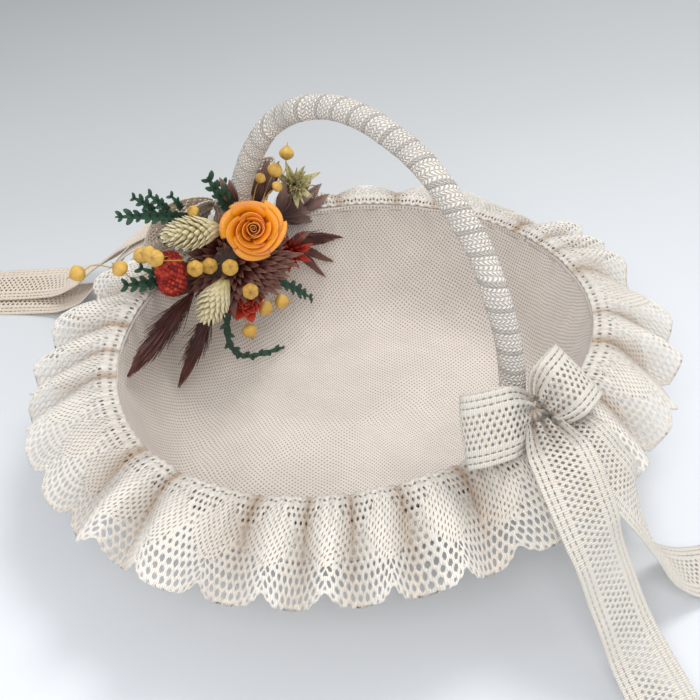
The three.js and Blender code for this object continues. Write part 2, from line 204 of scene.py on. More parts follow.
def cotton_lace(name, light, shade, fold):
    """Cotton yarn of the lace. The third part of "cloth" is how deep in a pucker the point lies; the fold
    colour is painted shade, laid in the puckers, in the grooves between cords and in the slits.
    """
    s = Shader(name, Roughness=0.88, Sheen_Weight=0.25, Sheen_Roughness=0.5, Subsurface_Weight=0.1,
               Subsurface_Radius=(0.004, 0.003, 0.002), Subsurface_Scale=0.5)
    cloth, (u, v, depth) = s.attribute("cloth")
    _, (dense, _, _) = s.attribute("dense")
    bend = s.times(s.add(s.noise(cloth, 160.0, 1.0), -0.5), 1.1 * MM)
    u, v = s.add(u, bend), s.add(v, bend)
    cords = s.wave(u, 0.85 * MM)
    slant = s.add(u, s.times(v, 0.35))
    gap = s.math("POWER", s.add(s.times(s.wave(slant, 1.7 * MM), -1.0), 1.0), 2.2)
    row = s.math("SINE", s.add(s.times(v, math.pi / (1.25 * MM)), s.times(slant, math.pi / (1.7 * MM))))
    slit = s.times(s.times(gap, s.math("GREATER_THAN", row, 0.15)), s.math("GREATER_THAN", dense, 0.5))
    slit = s.math("MULTIPLY", slit, 1.7, clamp=True)
    fibre = s.noise(cloth, 1400.0, 2.0)
    tone = s.mix(s.noise(cloth, 45.0, 3.0), shade, light)
    tone = s.mix(s.times(s.noise(cloth, 700.0, 1.0), 0.35), tone, shade)
    # Painted shade: the grooves between cords, the puckers and the slits darken toward the fold colour.
    tone = s.mix(s.times(s.add(s.times(cords, -1.0), 1.0), 0.32), tone, fold)
    tone = s.mix(s.math("POWER", depth, 1.15), tone, fold)
    tone = s.mix(s.times(slit, 0.85), tone, tuple(0.45 * part for part in fold))
    height = s.add(s.add(s.times(cords, 0.5), s.times(fibre, 0.6)), s.times(slit, -1.4))
    return s.finish(tone, height, depth=0.45 * MM, strength=0.9)


def soft_plant(name, stops, roughness=0.6, **sockets):
    """Petals, leaves and husks. The third part of "plant" runs from a piece's foot to its tip."""
    s = Shader(name, Roughness=roughness, **sockets)
    _, parts = s.attribute("plant")
    vector = s.place()
    grain = s.noise(vector, 960.0, 3.0)
    factor = s.add(parts[2], s.times(s.add(s.noise(vector, 240.0, 2.0), -0.5), 0.35))
    tone = s.ramp(factor, *stops)
    tone = s.mix(s.times(grain, 0.25), tone, stops[0][1])
    veins = s.wave(parts[0], 0.16)
    height = s.add(s.times(veins, 0.5), grain)
    return s.finish(tone, height, depth=0.2 * MM, strength=0.6)


def knitted(name, light, shade, gap):
    """Fine stocking stitch: rows of small slanted stitches, opposite ways in neighbouring columns."""
    s = Shader(name, Roughness=0.92, Sheen_Weight=0.3, Sheen_Roughness=0.5)
    cloth, (_, v, under) = s.attribute("cloth")
    _, (around, _, _) = s.attribute("around")
    column, course = BINDING_PITCH / 3, 1.9 * MM
    zigzag = s.math("PINGPONG", s.add(v, 1.0), column / 2)
    leaning = s.add(around, s.times(zigzag, 1.1))
    wobble = s.times(s.add(s.noise(cloth, 260.0, 3.0), -0.5), 1.3 * MM)
    stitch = s.wave(s.add(leaning, wobble), course)
    wale = s.wave(s.add(v, wobble), column / 2)
    height = s.times(s.math("POWER", stitch, 0.7), s.math("POWER", wale, 0.5))
    fibre = s.noise(s.place(), 1600.0, 3.0)
    # Painted shade: the low places between stitches take the gap colour.
    tone = s.mix(s.math("POWER", height, 0.6), gap, s.mix(fibre, shade, light))
    tone = s.mix(s.times(s.noise(s.place(), 35.0, 3.0), 0.5), tone, s.mix(0.4, tone, shade))
    # Painted shade along the lap of each turn of tape.
    tone = s.mix(s.times(s.math("POWER", under, 3.0), 0.12), tone, gap)
    return s.finish(tone, s.add(height, s.times(fibre, 0.35)), depth=1.0 * MM, strength=1.0)


def steel(name):
    s = Shader(name, Metallic=1.0, Roughness=0.38)
    tone = s.ramp(s.noise(s.place(), 400.0, 4.0), (0.3, (0.3, 0.3, 0.31)), (0.7, (0.55, 0.55, 0.56)))
    return s.finish(tone, s.noise(s.place(), 2500.0, 2.0), depth=0.05 * MM, strength=0.3)


def felted(name, light, dark):
    s = Shader(name, Roughness=0.95, Sheen_Weight=0.4)
    fibre = s.noise(s.place(), 900.0, 5.0, 0.7)
    tone = s.ramp(fibre, (0.3, dark), (0.7, light))
    return s.finish(tone, fibre, depth=0.5 * MM, strength=0.8)


# ---------------------------------------------------------------- mesh helpers

def smoothstep(value, low, high):
    share = np.clip((value - low) / (high - low), 0, 1)
    return share * share * (3 - 2 * share)


def wander(turn, seed, low=2, high=9):
    """A smooth random line that closes on itself when turn goes from 0 to 1."""
    dice = np.random.default_rng(seed)
    total = np.zeros_like(turn, dtype=float)
    for k in range(low, high):
        total += dice.uniform(0.5, 1) / math.sqrt(k) * np.sin(TAU * (k * turn + dice.random()))
    return total


def unit(vectors):
    return vectors / np.maximum(np.linalg.norm(vectors, axis=-1, keepdims=True), 1e-12)


def middle_and_half(node):
    """The middle of a CAD node's box and half its size."""
    low, high = (np.array(corner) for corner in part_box(node))
    return (low + high) / 2, (high - low) / 2


def grid_faces(rows, columns, closed=False):
    """Quads of a grid of points stored row by row. closed joins each row's end to its start."""
    i, j = np.meshgrid(np.arange(rows - 1), np.arange(columns if closed else columns - 1), indexing="ij")
    right = (j + 1) % columns
    here, above = i * columns, (i + 1) * columns
    return np.stack([here + j, here + right, above + right, above + j], -1).reshape(-1, 4)


def tube_faces(rows, columns, ends=(True, True)):
    """Quads of a closed tube, with a cap on each end that is wanted."""
    faces = [list(face) for face in grid_faces(rows, columns, closed=True)]
    if ends[0]:
        faces.append(list(range(columns))[::-1])
    if ends[1]:
        faces.append(list(range((rows - 1) * columns, rows * columns)))
    return faces


def stacked(*parts):
    """Coordinates broadcast together and stacked as the last axis."""
    return np.stack(np.broadcast_arrays(*parts), -1)


def set_attribute(mesh, name, values):
    layer = mesh.attributes.new(name, "FLOAT_VECTOR", "POINT")
    layer.data.foreach_set("vector", np.ascontiguousarray(values, np.float32).ravel())


def add_piece(name, points, faces, material, stands_for=(), attributes=None, thickness=None,
              weights=None):
    """A smooth-shaded mesh object that rides on the basket and hides the CAD parts it stands for."""
    mesh = bpy.data.meshes.new(name)
    mesh.from_pydata(np.asarray(points).reshape(-1, 3).tolist(), [], [list(map(int, face)) for face in faces])
    mesh.polygons.foreach_set("use_smooth", np.ones(len(mesh.polygons), bool))
    for key, values in (attributes or {}).items():
        set_attribute(mesh, key, values)
    mesh.materials.append(material)
    piece = bpy.data.objects.new(name, mesh)
    bpy.context.scene.collection.objects.link(piece)
    if thickness:
        thicken(piece, thickness, weights)
    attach(piece, "root")
    if stands_for:
        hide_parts(*stands_for)
    return piece


def thicken(piece, thickness, weights=None):
    solid = piece.modifiers.new("thickness", "SOLIDIFY")
    solid.thickness = thickness
    solid.offset = 0
    solid.use_rim = True
    if weights is None:
        return
    group = piece.vertex_groups.new(name="yarn")
    for value in np.unique(weights):
        group.add([int(i) for i in np.flatnonzero(weights == value)], float(value), "REPLACE")
    solid.vertex_group = "yarn"


class Shapes:
    """Collects many small shapes into one mesh."""

    def __init__(self):
        self.points, self.faces, self.marks, self.count = [], [], [], 0

    def add(self, points, faces, marks):
        points = np.asarray(points, float).reshape(-1, 3)
        self.points.append(points)
        self.marks.append(np.broadcast_to(np.asarray(marks, float).reshape(-1, 3), points.shape))
        self.faces.extend((np.asarray(face) + self.count).tolist() for face in faces)
        self.count += len(points)

    def piece(self, name, material, slot, stands_for=(), thickness=None):
        return add_piece(name, np.concatenate(self.points), self.faces, material, stands_for,
                         {"plant": np.concatenate(self.marks)}, thickness)


def frames_along(points, up):
    """Side and normal at each point of a line."""
    tangent = unit(np.gradient(points, axis=0))
    side = unit(np.cross(np.asarray(up), tangent))
    return side, np.cross(tangent, side)


def spline(stops, count):
    """A Catmull-Rom curve through the stops, in equal steps of length."""
    stops = np.asarray(stops, float)
    ends = np.vstack([2 * stops[0] - stops[1], stops, 2 * stops[-1] - stops[-2]])
    fine = []
    for a, b, c, d in zip(ends, ends[1:], ends[2:], ends[3:]):
        t = np.linspace(0, 1, 40, endpoint=False)[:, None]
        fine.append(0.5 * (2 * b + (c - a) * t + (2 * a - 5 * b + 4 * c - d) * t ** 2
                           + (3 * b - a - 3 * c + d) * t ** 3))
    fine = np.vstack([*fine, stops[-1:]])
    length = np.concatenate([[0], np.cumsum(np.linalg.norm(np.diff(fine, axis=0), axis=1))])
    at = np.linspace(0, length[-1], count)
    return np.stack([np.interp(at, length, fine[:, k]) for k in range(fine.shape[1])], -1), length[-1]


def tube(points, radii, sides):
    """Points and faces of a capped tube along a line."""
    points = np.asarray(points, float)
    reference = (0.0, 0.0, 1.0) if abs(unit(points[-1] - points[0])[2]) < 0.9 else (1.0, 0.0, 0.0)
    side, normal = frames_along(points, reference)
    turn = np.arange(sides) * TAU / sides
    ring = np.cos(turn)[None, :, None] * side[:, None] + np.sin(turn)[None, :, None] * normal[:, None]
    radii = np.broadcast_to(np.asarray(radii, float), (len(points),))
    made = points[:, None] + ring * radii[:, None, None]
    return made.reshape(-1, 3), tube_faces(len(points), sides)


def axes_for(toward):
    """Rows are a side, a second side and the direction itself."""
    z = unit(np.asarray(toward, float))
    reference = np.array([0.0, 0.0, 1.0]) if abs(z[2]) < 0.95 else np.array([1.0, 0.0, 0.0])
    x = unit(np.cross(reference, z))
    return np.stack([x, np.cross(z, x), z])


# ---------------------------------------------------------------- the oval

def saddle(turn, height):
    return -SADDLE * np.cos(2 * TAU * turn) * (height / RIM_Z) ** 2


def oval_point(turn, half_length, height):
    """A point on the oval ring of that half length. turn goes from 0 to 1 round the basket."""
    less = OPEN_X - OPEN_Y
    half_width = np.where(half_length > FLOOR_X, half_length - less, half_length * (FLOOR_X - less) / FLOOR_X)
    angle = TAU * turn
    return stacked(half_length * np.cos(angle), half_width * np.sin(angle), height + saddle(turn, height))


WALL_STOPS = [
    (FLOOR_X, FLOOR_Z), (80 * MM, FLOOR_Z + 0.4 * MM), (88 * MM, 11.5 * MM), (95.5 * MM, 20 * MM),
    (101 * MM, 31.5 * MM), (106 * MM, 46 * MM), (OPEN_X, RIM_Z),
]


def woven_bowl(name, offset, wrinkles, material, node, from_floor):
    """A cloth on one side of the bowl's wall, from the floor's middle or from the wall's foot."""
    around, down = 360, 46
    wall, wall_length = spline(WALL_STOPS, down)
    tangent = unit(np.gradient(wall, axis=0))
    wall = wall + np.stack([tangent[:, 1], -tangent[:, 0]], -1) * offset
    path = np.linspace(0, wall_length, down) + FLOOR_X
    if from_floor:
        floor = np.linspace(0.5 * MM, FLOOR_X, 26)[:-1]
        wall = np.vstack([np.stack([floor, np.full_like(floor, wall[0, 1])], -1), wall])
        path = np.concatenate([floor, path])
    else:
        wall, path = wall[6:], path[6:]
    turn = np.arange(around) / around
    share = np.linspace(0, 1, len(wall))
    push = wrinkles(turn[None, :], wall[:, 1:2], share[:, None])
    points = oval_point(turn[None, :], wall[:, :1] - push, wall[:, 1:2] + 0 * turn[None, :])
    flat = unit(points[..., :2]) * (path[:, None, None])
    cloth = np.concatenate([flat, np.zeros((*flat.shape[:2], 1))], -1)
    faces = tube_faces(len(wall), around, (from_floor, False))
    piece = add_piece(name, points, faces, material, [node], {"cloth": cloth}, CLOTH * 0.8)
    size = (2 * path[-1], 2 * (path[-1] - (OPEN_X - OPEN_Y)))
    return piece, size


def lining_wrinkles(turn, height, share):
    """How far the lining stands in from the wall, in metres."""
    near_rim = smoothstep(height, 0.45 * RIM_Z, RIM_Z)
    tucks = 0.35 * MM * (1 + np.sin(TAU * LINING_TUCKS * turn + 2.5 * wander(turn, 4))) * near_rim
    on_wall = smoothstep(height, FLOOR_Z + 1 * MM, FLOOR_Z + 20 * MM)
    slack = 0.8 * MM * np.clip(1 + wander(turn + 0.06 * share, 8, 3, 9), 0, 3)
    slack = slack * on_wall * (1 - 0.6 * near_rim)
    return tucks + slack


def cover_wrinkles(turn, height, share):
    """The outer cover is gathered under the ruffle, so its folds run up the wall."""
    folds = np.sin(TAU * COVER_FOLDS * turn + 3 * wander(turn, 14)) * smoothstep(share, 0.1, 1)
    return 0.35 * MM * folds


def add_bowl_cloths(linen, linen_dark):
    lining, size = woven_bowl("linen_lining", CLOTH * 0.5, lining_wrinkles, linen, "lining", True)
    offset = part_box("outer_cover")[1].x - OPEN_X - 0.4 * MM
    cover, _ = woven_bowl("linen_cover", offset, cover_wrinkles, linen_dark, "outer_cover", False)


# ---------------------------------------------------------------- lace

AROUND_CELL = np.array([(0, 0), (1, 0), (2, 0), (2, 1), (2, 2), (1, 2), (0, 2), (0, 1)])


def lattice_points(cells_x, cells_y, heights, pitch, slope):
    """The corners that neighbouring cells of the brick lattice share, and which eight belong to each cell."""
    x = cells_x[:, None] + AROUND_CELL[:, 0]
    y = cells_y[:, None] + AROUND_CELL[:, 1]
    keys, index = np.unique(y * 100000 + x, return_inverse=True)
    x, y = keys % 100000, keys // 100000
    edges = np.concatenate([[0], np.cumsum(heights)])
    v = np.interp(y / 2, np.arange(len(edges)), edges)
    last = len(heights) - 1
    next_row, previous = np.clip(y // 2, 0, last), np.clip(y // 2 - 1, 0, last)
    opens_next = x % 2 == y // 2 % 2
    shift = np.where(opens_next, heights[next_row], -heights[previous]) * slope
    shift[(y % 2 == 1) | (y == 0)] = 0
    foot = y == 2 * len(heights)
    shift[foot] = np.where(opens_next[foot], heights[-1] * 0.32, 0)
    return np.stack([x * pitch / 2, v + shift], -1), index.reshape(len(cells_x), 8)


def lace_sheet(first, columns, heights, pitch, holes, seed, slope=0.2):
    """Flat lace. holes gives each cell's hole as shares of its width and height.

    Returns the points, the faces, and how thick the yarn is at each point.
    """
    heights = np.asarray(heights)
    column, row = np.meshgrid(np.arange(first, first + columns), np.arange(len(heights)), indexing="ij")
    column, row = column.ravel(), row.ravel()
    shared, corner = lattice_points(2 * column + row % 2, 2 * row, heights, pitch, slope)
    dice = np.random.default_rng(seed)
    middle = shared[corner].mean(axis=1)
    wide, tall = holes(row, middle)
    solid = wide == 0
    round_off = np.array([0.9, 1, 0.9, 1, 0.9, 1, 0.9, 1])[None, :, None]
    reach = (shared[corner] - middle[:, None]) * round_off
    reach *= np.stack([wide, tall], -1)[:, None] * dice.uniform(0.9, 1.1, (len(wide), 1, 2))
    ring = middle[:, None] + reach
    centres = len(shared) + np.arange(solid.sum())
    rings = len(shared) + solid.sum() + np.arange((~solid).sum() * 8).reshape(-1, 8)
    points = np.concatenate([shared, middle[solid], ring[~solid].reshape(-1, 2)])
    points += dice.normal(0, 0.035 * MM, points.shape)
    yarn = np.concatenate([np.ones(len(shared)), np.full(solid.sum(), 0.5), np.full(rings.size, 0.35)])
    return points, lace_faces(corner[solid], centres, corner[~solid], rings), yarn


def lace_faces(solid, centres, open_cells, rings):
    quads = []
    for k in (0, 2, 4, 6):
        quads.append(np.stack([solid[:, k], solid[:, k + 1], centres, solid[:, k - 1]], -1))
    for k in range(8):
        n = (k + 1) % 8
        quads.append(np.stack([open_cells[:, k], open_cells[:, n], rings[:, n], rings[:, k]], -1))
    return np.concatenate(quads)


RUFFLE_ROWS = np.array([1.2, 2.5, 1.3, *[2.5] * 9, *[3.0] * 3, 2.2]) * MM
HEADING_ROW = 1
FAN_ROWS = (3, 12)
NET_ROWS = (12, 15)
EDGE_ROW = 15


def in_fan(flat):
    """1 where the lace is the dense cloth of a fan, and 0 where it is open."""
    across = np.abs((flat[:, 0] / SCALLOP_WIDTH) % 1 * 2 - 1)
    start, end = (RUFFLE_ROWS[:row].sum() for row in FAN_ROWS)
    share = (flat[:, 1] - start) / (end - start)
    edge = 0.93 * np.clip(1 - np.abs(2 * share - 1), 0, 1) ** 0.6
    return (across < edge).astype(float)


def ruffle_holes(row, middle):
    """Dense fans one to a scallop, round holes between them, and a net of large holes outside."""
    between = in_fan(middle) < 0.5
    in_fan_rows = (row >= FAN_ROWS[0]) & (row < FAN_ROWS[1])
    in_net = (row >= NET_ROWS[0]) & (row < NET_ROWS[1])
    wide = np.zeros(len(row))
    tall = np.zeros(len(row))
    wide[row == HEADING_ROW], tall[row == HEADING_ROW] = 0.5, 0.55
    cluster = in_fan_rows & between
    wide[cluster], tall[cluster] = 0.5, 0.52
    wide[in_net], tall[in_net] = 0.62, 0.64
    wide[row == EDGE_ROW], tall[row == EDGE_ROW] = 0.4, 0.4
    return wide, tall


RIBBON_EDGE = [1.3, 1.3, 1.1, 1.3, 1.2]
RIBBON_ROWS = np.array([*RIBBON_EDGE, *[2.2] * 6, *RIBBON_EDGE[::-1]])
RIBBON_ROWS = RIBBON_ROWS / RIBBON_ROWS.sum() * RIBBON_WIDTH
RIBBON_SLITS = (1, 3, 12, 14)
RIBBON_NET_ROWS = (5, 11)


def ribbon_holes(row, _):
    """Cords along both edges with slits between them, and a net of diamonds in the middle."""
    wide = np.zeros(len(row))
    tall = np.zeros(len(row))
    slit = np.isin(row, RIBBON_SLITS)
    wide[slit], tall[slit] = 0.86, 0.36
    net = (row >= RIBBON_NET_ROWS[0]) & (row < RIBBON_NET_ROWS[1])
    wide[net], tall[net] = 0.5, 0.56
    return wide, tall


# ---------------------------------------------------------------- ruffle

# Half lengths and heights across the ruffle, from the rim to its edge.
RUFFLE_PROFILE, _ = spline(
    [(109.3 * MM, 62.0 * MM), (118 * MM, 62.9 * MM), (132.5 * MM, 56 * MM), (147.5 * MM, 45.5 * MM)], 80)


def ruffle_fold(turn, share):
    """How far the cloth stands out at each fold, from -1 in a valley to 1 on a crest."""
    phase = TAU / 2 * (RUFFLE_FOLDS * turn + 0.42 * wander(turn, 31, 3, 12))
    pinched = 2 * np.abs(np.sin(phase)) ** 0.6 - 1
    rounded = -np.cos(2 * phase)
    return pinched * (1 - share) + rounded * share


def place_ruffle(flat):
    """Lays the flat lace round the rim. Returns the points and how deep in a pucker each one lies, which the
    lace paints as shade.
    """
    width = RUFFLE_ROWS.sum()
    share = flat[:, 1] / width
    scallop = np.abs(np.cos(math.pi * flat[:, 0] / SCALLOP_WIDTH)) ** 0.8
    scallop = 1 - scallop
    reach = flat[:, 1] - (scallop - 0.2) * 7 * MM * smoothstep(share, 0.45, 1.0)
    reach = reach / width
    turn = flat[:, 0] / (SCALLOPS * SCALLOP_COLUMNS * LACE_PITCH)
    turn = turn + 0.0016 * np.sin(TAU * (RUFFLE_FOLDS * turn + 0.3)) * reach
    fold = ruffle_fold(turn, np.clip(reach, 0, 1))
    strength = 1 + 0.4 * np.clip(wander(turn, 77, 3, 14), -1.6, 1.6)
    height = fold * (0.6 * MM + 3.9 * MM * smoothstep(reach, 0.03, 0.75)) * strength
    fine = np.sin(TAU * (131 * turn + 0.7 * wander(turn, 5))) * (1 - smoothstep(reach, 0.0, 0.45))
    height = height + 0.5 * MM * fine
    at = np.linspace(0, 1, len(RUFFLE_PROFILE))
    slope = unit(np.gradient(RUFFLE_PROFILE, axis=0))
    radius, level = (np.interp(reach, at, RUFFLE_PROFILE[:, k]) for k in (0, 1))
    run, drop = (np.interp(reach, at, slope[:, k]) for k in (0, 1))
    level = level + wander(turn, 13, 2, 5) * 0.8 * MM * reach
    points = oval_point(turn, radius - drop * height, level + run * height)
    # Pucker depth, which the lace shader paints as shade.
    depth = (0.5 - 0.5 * fold) ** 2 * (1 - 0.75 * smoothstep(reach, 0.1, 0.9)) + 0.12 * np.clip(fine, 0, 1)
    return points, np.clip(depth, 0, 1)


def add_ruffle(material):
    """Four lengths of the same lace, side by side round the rim."""
    per_quarter = SCALLOPS * SCALLOP_COLUMNS // 4
    for quarter in range(4):
        flat, faces, yarn = lace_sheet(
            quarter * per_quarter, per_quarter, RUFFLE_ROWS, LACE_PITCH, ruffle_holes, 90 + quarter)
        points, depth = place_ruffle(flat)
        marks = {"cloth": np.column_stack([flat, depth]), "dense": np.repeat(in_fan(flat)[:, None], 3, 1)}
        piece = add_piece(f"ruffle_{quarter + 1}", points, faces, material, ["lace_ruffle"],
                          marks, 0.8 * MM, yarn)


# ---------------------------------------------------------------- ribbons

def drape_ribbon(name, node, centre, across, pinches, material, seed):
    """Lace ribbon along a line of centre points. pinches says which ends are gathered at the knot."""
    length = np.linalg.norm(np.diff(centre, axis=0), axis=1).sum()
    columns = max(6, round(length / RIBBON_PITCH))
    pitch = length / (columns + 0.5)
    flat, faces, yarn = lace_sheet(0, columns, RIBBON_ROWS, pitch, ribbon_holes, seed, 0.26)
    at = np.linspace(0, length, len(centre))
    tangent = unit(np.gradient(centre, axis=0))
    across = unit(across - (across * tangent).sum(-1, keepdims=True) * tangent)
    normal = np.cross(tangent, across)
    where, side, out = (
        np.stack([np.interp(flat[:, 0], at, line[:, k]) for k in range(3)], -1)
        for line in (centre, across, normal))
    from_end = np.full(len(flat), np.inf)
    if pinches[0]:
        from_end = flat[:, 0]
    if pinches[1]:
        from_end = np.minimum(from_end, length - flat[:, 0])
    gather = 1 - smoothstep(from_end, -2 * MM, 16 * MM)
    v = flat[:, 1] - RIBBON_WIDTH / 2
    pleat = np.cos(TAU * v / (RIBBON_WIDTH / 3.5) + seed) * 1.2 * MM * gather
    roll = wander(flat[:, 0] / length * 0.5 + 0.1 * v / RIBBON_WIDTH, seed, 2, 6) * 0.55 * MM * (1 - gather)
    edge = (2 * v / RIBBON_WIDTH) ** 2 * 0.7 * MM * (1 - gather)
    points = where + side * (v * (1 - 0.5 * gather))[:, None] + out * (pleat + roll - edge)[:, None]
    # Painted shade in the pleats where the ribbon is gathered at the knot.
    depth = np.clip(gather * (0.55 - 0.45 * np.cos(TAU * v / (RIBBON_WIDTH / 3.5) + seed)), 0, 1)
    marks = {"cloth": np.column_stack([flat, depth]), "dense": np.zeros((len(flat), 3))}
    piece = add_piece(name, points, faces, material, [node], marks, 0.65 * MM, yarn)


def tail_line(stops):
    """The middle line of a ribbon tail and the level direction across it."""
    centre, _ = spline(np.asarray(stops) * MM, 160)
    plan = np.gradient(centre, axis=0) * (1, 1, 0)
    across = unit(np.cross((0, 0, 1), unit(plan)))
    for _ in range(12):
        across[1:-1] = unit(across[:-2] + across[1:-1] + across[2:])
    return centre, across


def loop_line(start, along, across, length, half_thickness):
    """A bow loop: out from the knot, round, and back to it."""
    along = unit(np.asarray(along, float))
    across = unit(np.asarray(across, float) - np.dot(across, along) * along)
    turn = np.linspace(0, TAU, 90)
    out = length * MM * np.sin(turn / 2) ** 2
    bulge = half_thickness * MM * 1.3 * np.sin(turn) * np.sin(turn / 2)
    centre = np.asarray(start) * MM + out[:, None] * along + bulge[:, None] * np.cross(along, across)
    return centre, np.broadcast_to(across, centre.shape)


TAILS = {
    "right_bow_tail_long": [
        (-4, -99, 77.3), (-7, -107, 75.4), (-10, -115, 73.4), (-15, -126, 68.5), (-18, -138, 57),
        (-18, -149, 38),
        (-19, -164, 18), (-24, -182, 8), (-33, -203, 3), (-45, -226, 1.6)],
    "right_bow_tail_short": [
        (3, -97.5, 71.5), (8, -104, 70.3), (8, -110, 69), (7, -121, 65.5), (9, -133, 57.5), (14, -140, 41),
        (23, -146, 18), (37, -153, 4.5), (56, -163, 1.2), (78, -177, 1)],
    "left_bow_tail_long": [
        (-2, 103, 73), (-8, 113, 70.8), (-11.5, 120, 67.8), (-16, 128, 62), (-22, 140, 51), (-27, 153, 36),
        (-31, 168, 20), (-37, 184, 9), (-47, 199, 4.4), (-66, 216, 3.6), (-92, 237, 3.4)],
    "left_bow_tail_short": [
        (-6, 106.5, 68.2), (-12, 116, 65), (-19, 127, 58.6), (-25, 138, 47.5), (-31, 150, 31), (-36, 163, 14),
        (-42, 177, 4.5), (-54, 192, 1.2), (-72, 209, 1), (-90, 224, 1)],
}
LOOPS = {  # where it leaves the knot, its direction, its width's direction, length and half thickness
    "right_bow_loop_front": ((-5.5, -97.2, 78.5), (-0.95, 0.15, 0.25), (0.3, 0.45, 0.8), 35, 3.4),
    "right_bow_loop_back": ((-1.5, -99, 80.5), (0.96, 0.24, -0.06), (-0.14, 0.81, 0.57), 31, 3.4),
    "left_bow_loop_front": ((-4.5, 97.6, 77.8), (-1, 0, 0.06), (0.1, -0.45, 0.88), 34, 4),
    "left_bow_loop_back": ((7.5, 98, 78), (1, 0.06, 0), (0, -0.2, 0.97), 27, 4),
}
KNOTS = ("right_bow_knot", "left_bow_knot")


def add_knot(node, material):
    """The ribbon drawn round the middle of a bow, in tight pleats."""
    middle, half = middle_and_half(node)
    rows, columns = 40, 64
    level = np.linspace(-1, 1, rows)[:, None]
    turn = (np.arange(columns) / columns * TAU)[None, :]
    waist = 0.5 + 0.4 * np.abs(level) ** 1.5
    waist = waist * np.clip(1 - np.abs(level) ** 9, 0.15, 1)
    pleats = 1 + 0.1 * np.sin(9 * turn + 3 * level) + 0.04 * np.sin(23 * turn - 5 * level)
    flat = waist * pleats
    points = stacked(half[0] * flat * np.cos(turn), half[1] * flat * np.sin(turn), half[2] * level) + middle
    # Painted shade in the knot's pleats, deepest in the valleys.
    depth = 0.5 - 0.5 * np.sin(9 * turn + 3 * level)
    cloth = stacked(turn * 5 * MM, level * 8 * MM, 0.3 + 0.6 * depth)
    marks = {"cloth": cloth, "dense": np.zeros((rows * columns, 3))}
    faces = tube_faces(rows, columns)
    knot = add_piece(f"{node}_tied", points, faces, material, [node], marks)


def add_bows(right, left):
    def cloth_of(node):
        return left if node.startswith("left") else right

    for seed, (node, stops) in enumerate(TAILS.items()):
        centre, across = tail_line(stops)
        drape_ribbon(f"{node}_lace", node, centre, across, (True, False),
                     cloth_of(node), seed + 3)
    for seed, (node, (start, along, across, length, half)) in enumerate(LOOPS.items()):
        centre, across = loop_line(start, along, across, length, half)
        drape_ribbon(f"{node}_lace", node, centre, across, (True, True),
                     cloth_of(node), seed + 13)
    for node in KNOTS:
        add_knot(node, cloth_of(node))


# ---------------------------------------------------------------- handle and trims

def handle_line():
    """The middle of the handle, from one foot inside the bowl, over the top, to the other."""
    angle = np.linspace(0, math.pi, 60)[::-1]
    power = 2 / HANDLE_ROUNDNESS
    bow = np.sign(np.cos(angle)) * np.abs(np.cos(angle)) ** power * HANDLE_HALF_SPAN
    rise = HANDLE_SPRING + HANDLE_RISE * np.abs(np.sin(angle)) ** power
    arch = [(0, y, z) for y, z in zip(bow, rise)]
    foot, level = HANDLE_FOOT
    stops = [(0, -foot, level), (0, -80.5, 50), *arch, (0, 80.5, 50), (0, foot, level)]
    return spline(np.array(stops) * MM, 760)


def add_handle(material):
    """The handle's wire is bound in a spiral with knitted tape, each turn lapping over the last."""
    centre, length = handle_line()
    sides, pitch = 60, BINDING_PITCH
    s = np.linspace(0, length, len(centre))[:, None]
    turn = (np.arange(sides) / sides)[None, :]
    uneven = 0.16 * wander(s / length + 0 * turn, 21, 3, 16)
    turns = s / pitch + uneven + turn
    lap = turns % 1
    ridge = 0.1 * MM * (1 - lap) ** 0.8 * smoothstep(lap, 0, 0.16)
    squeeze = 0.16 * MM * np.sin(TAU * (3 * turn + s / length * 9))
    squeeze = squeeze + 0.12 * MM * wander(s / length + 0.2 * turn, 6, 9, 20)
    radius = BINDING_RADIUS + ridge + squeeze
    tangent = unit(np.gradient(centre, axis=0))
    side = np.broadcast_to((1.0, 0.0, 0.0), centre.shape)
    normal = np.cross(tangent, side)
    ring = np.cos(TAU * turn)[..., None] * side[:, None] + np.sin(TAU * turn)[..., None] * normal[:, None]
    points = centre[:, None] + ring * radius[..., None]
    # The third part of cloth is painted shade along the edge where each turn of tape laps over the last.
    cloth = stacked(s + lap * 0, turns * pitch, 1 - smoothstep(lap, 0, 0.14) * 0.9)
    around = stacked(turn * 34 * MM, s, 0 * s)
    piece = add_piece("handle_binding", points, tube_faces(len(centre), sides), material,
                      ["handle_wrap"], {"cloth": cloth, "around": around})


def add_band(name, node, stops, material, pucker):
    """A narrow tape that runs right round the bowl. stops are (half length, height) across it."""
    line, width = spline(np.array(stops) * MM, 14)
    around = 540
    turn = (np.arange(around) / around)[None, :]
    share = np.linspace(0, 1, len(line))[:, None]
    even = np.sin(TAU * TAPE_PUCKERS * turn + 2 * wander(turn, 41))
    push = pucker * (even + 0.4 * wander(turn, 43, 10, 30))
    points = oval_point(turn, line[:, :1] + push * (0.3 + 0.7 * share), line[:, 1:] + push * 0.5)
    cloth = stacked(turn * 0.66, share * width, 0.3 + 0 * turn * share)
    faces = tube_faces(len(line), around, (False, False))
    piece = add_piece(name, points, faces, material, [node], {"cloth": cloth}, 0.7 * MM)


def add_trims(linen, cotton, felt):
    rim = [(109.5, 58.6), (109.1, 60.3), (110.4, 61.3), (113.5, 61.2), (117.2, 60.4)]
    add_band("rim_tape", "rim_binding", rim, linen, 0.12 * MM)
    tape = [(113.5, 47.5), (115.2, 51), (116.6, 55.2)]
    add_band("gather_tape", "gathering_tape", tape, cotton, 0.25 * MM)
    for node in ("handle_sleeve_left", "handle_sleeve_right"):
        add_sleeve(node, linen)
    add_pad(felt)


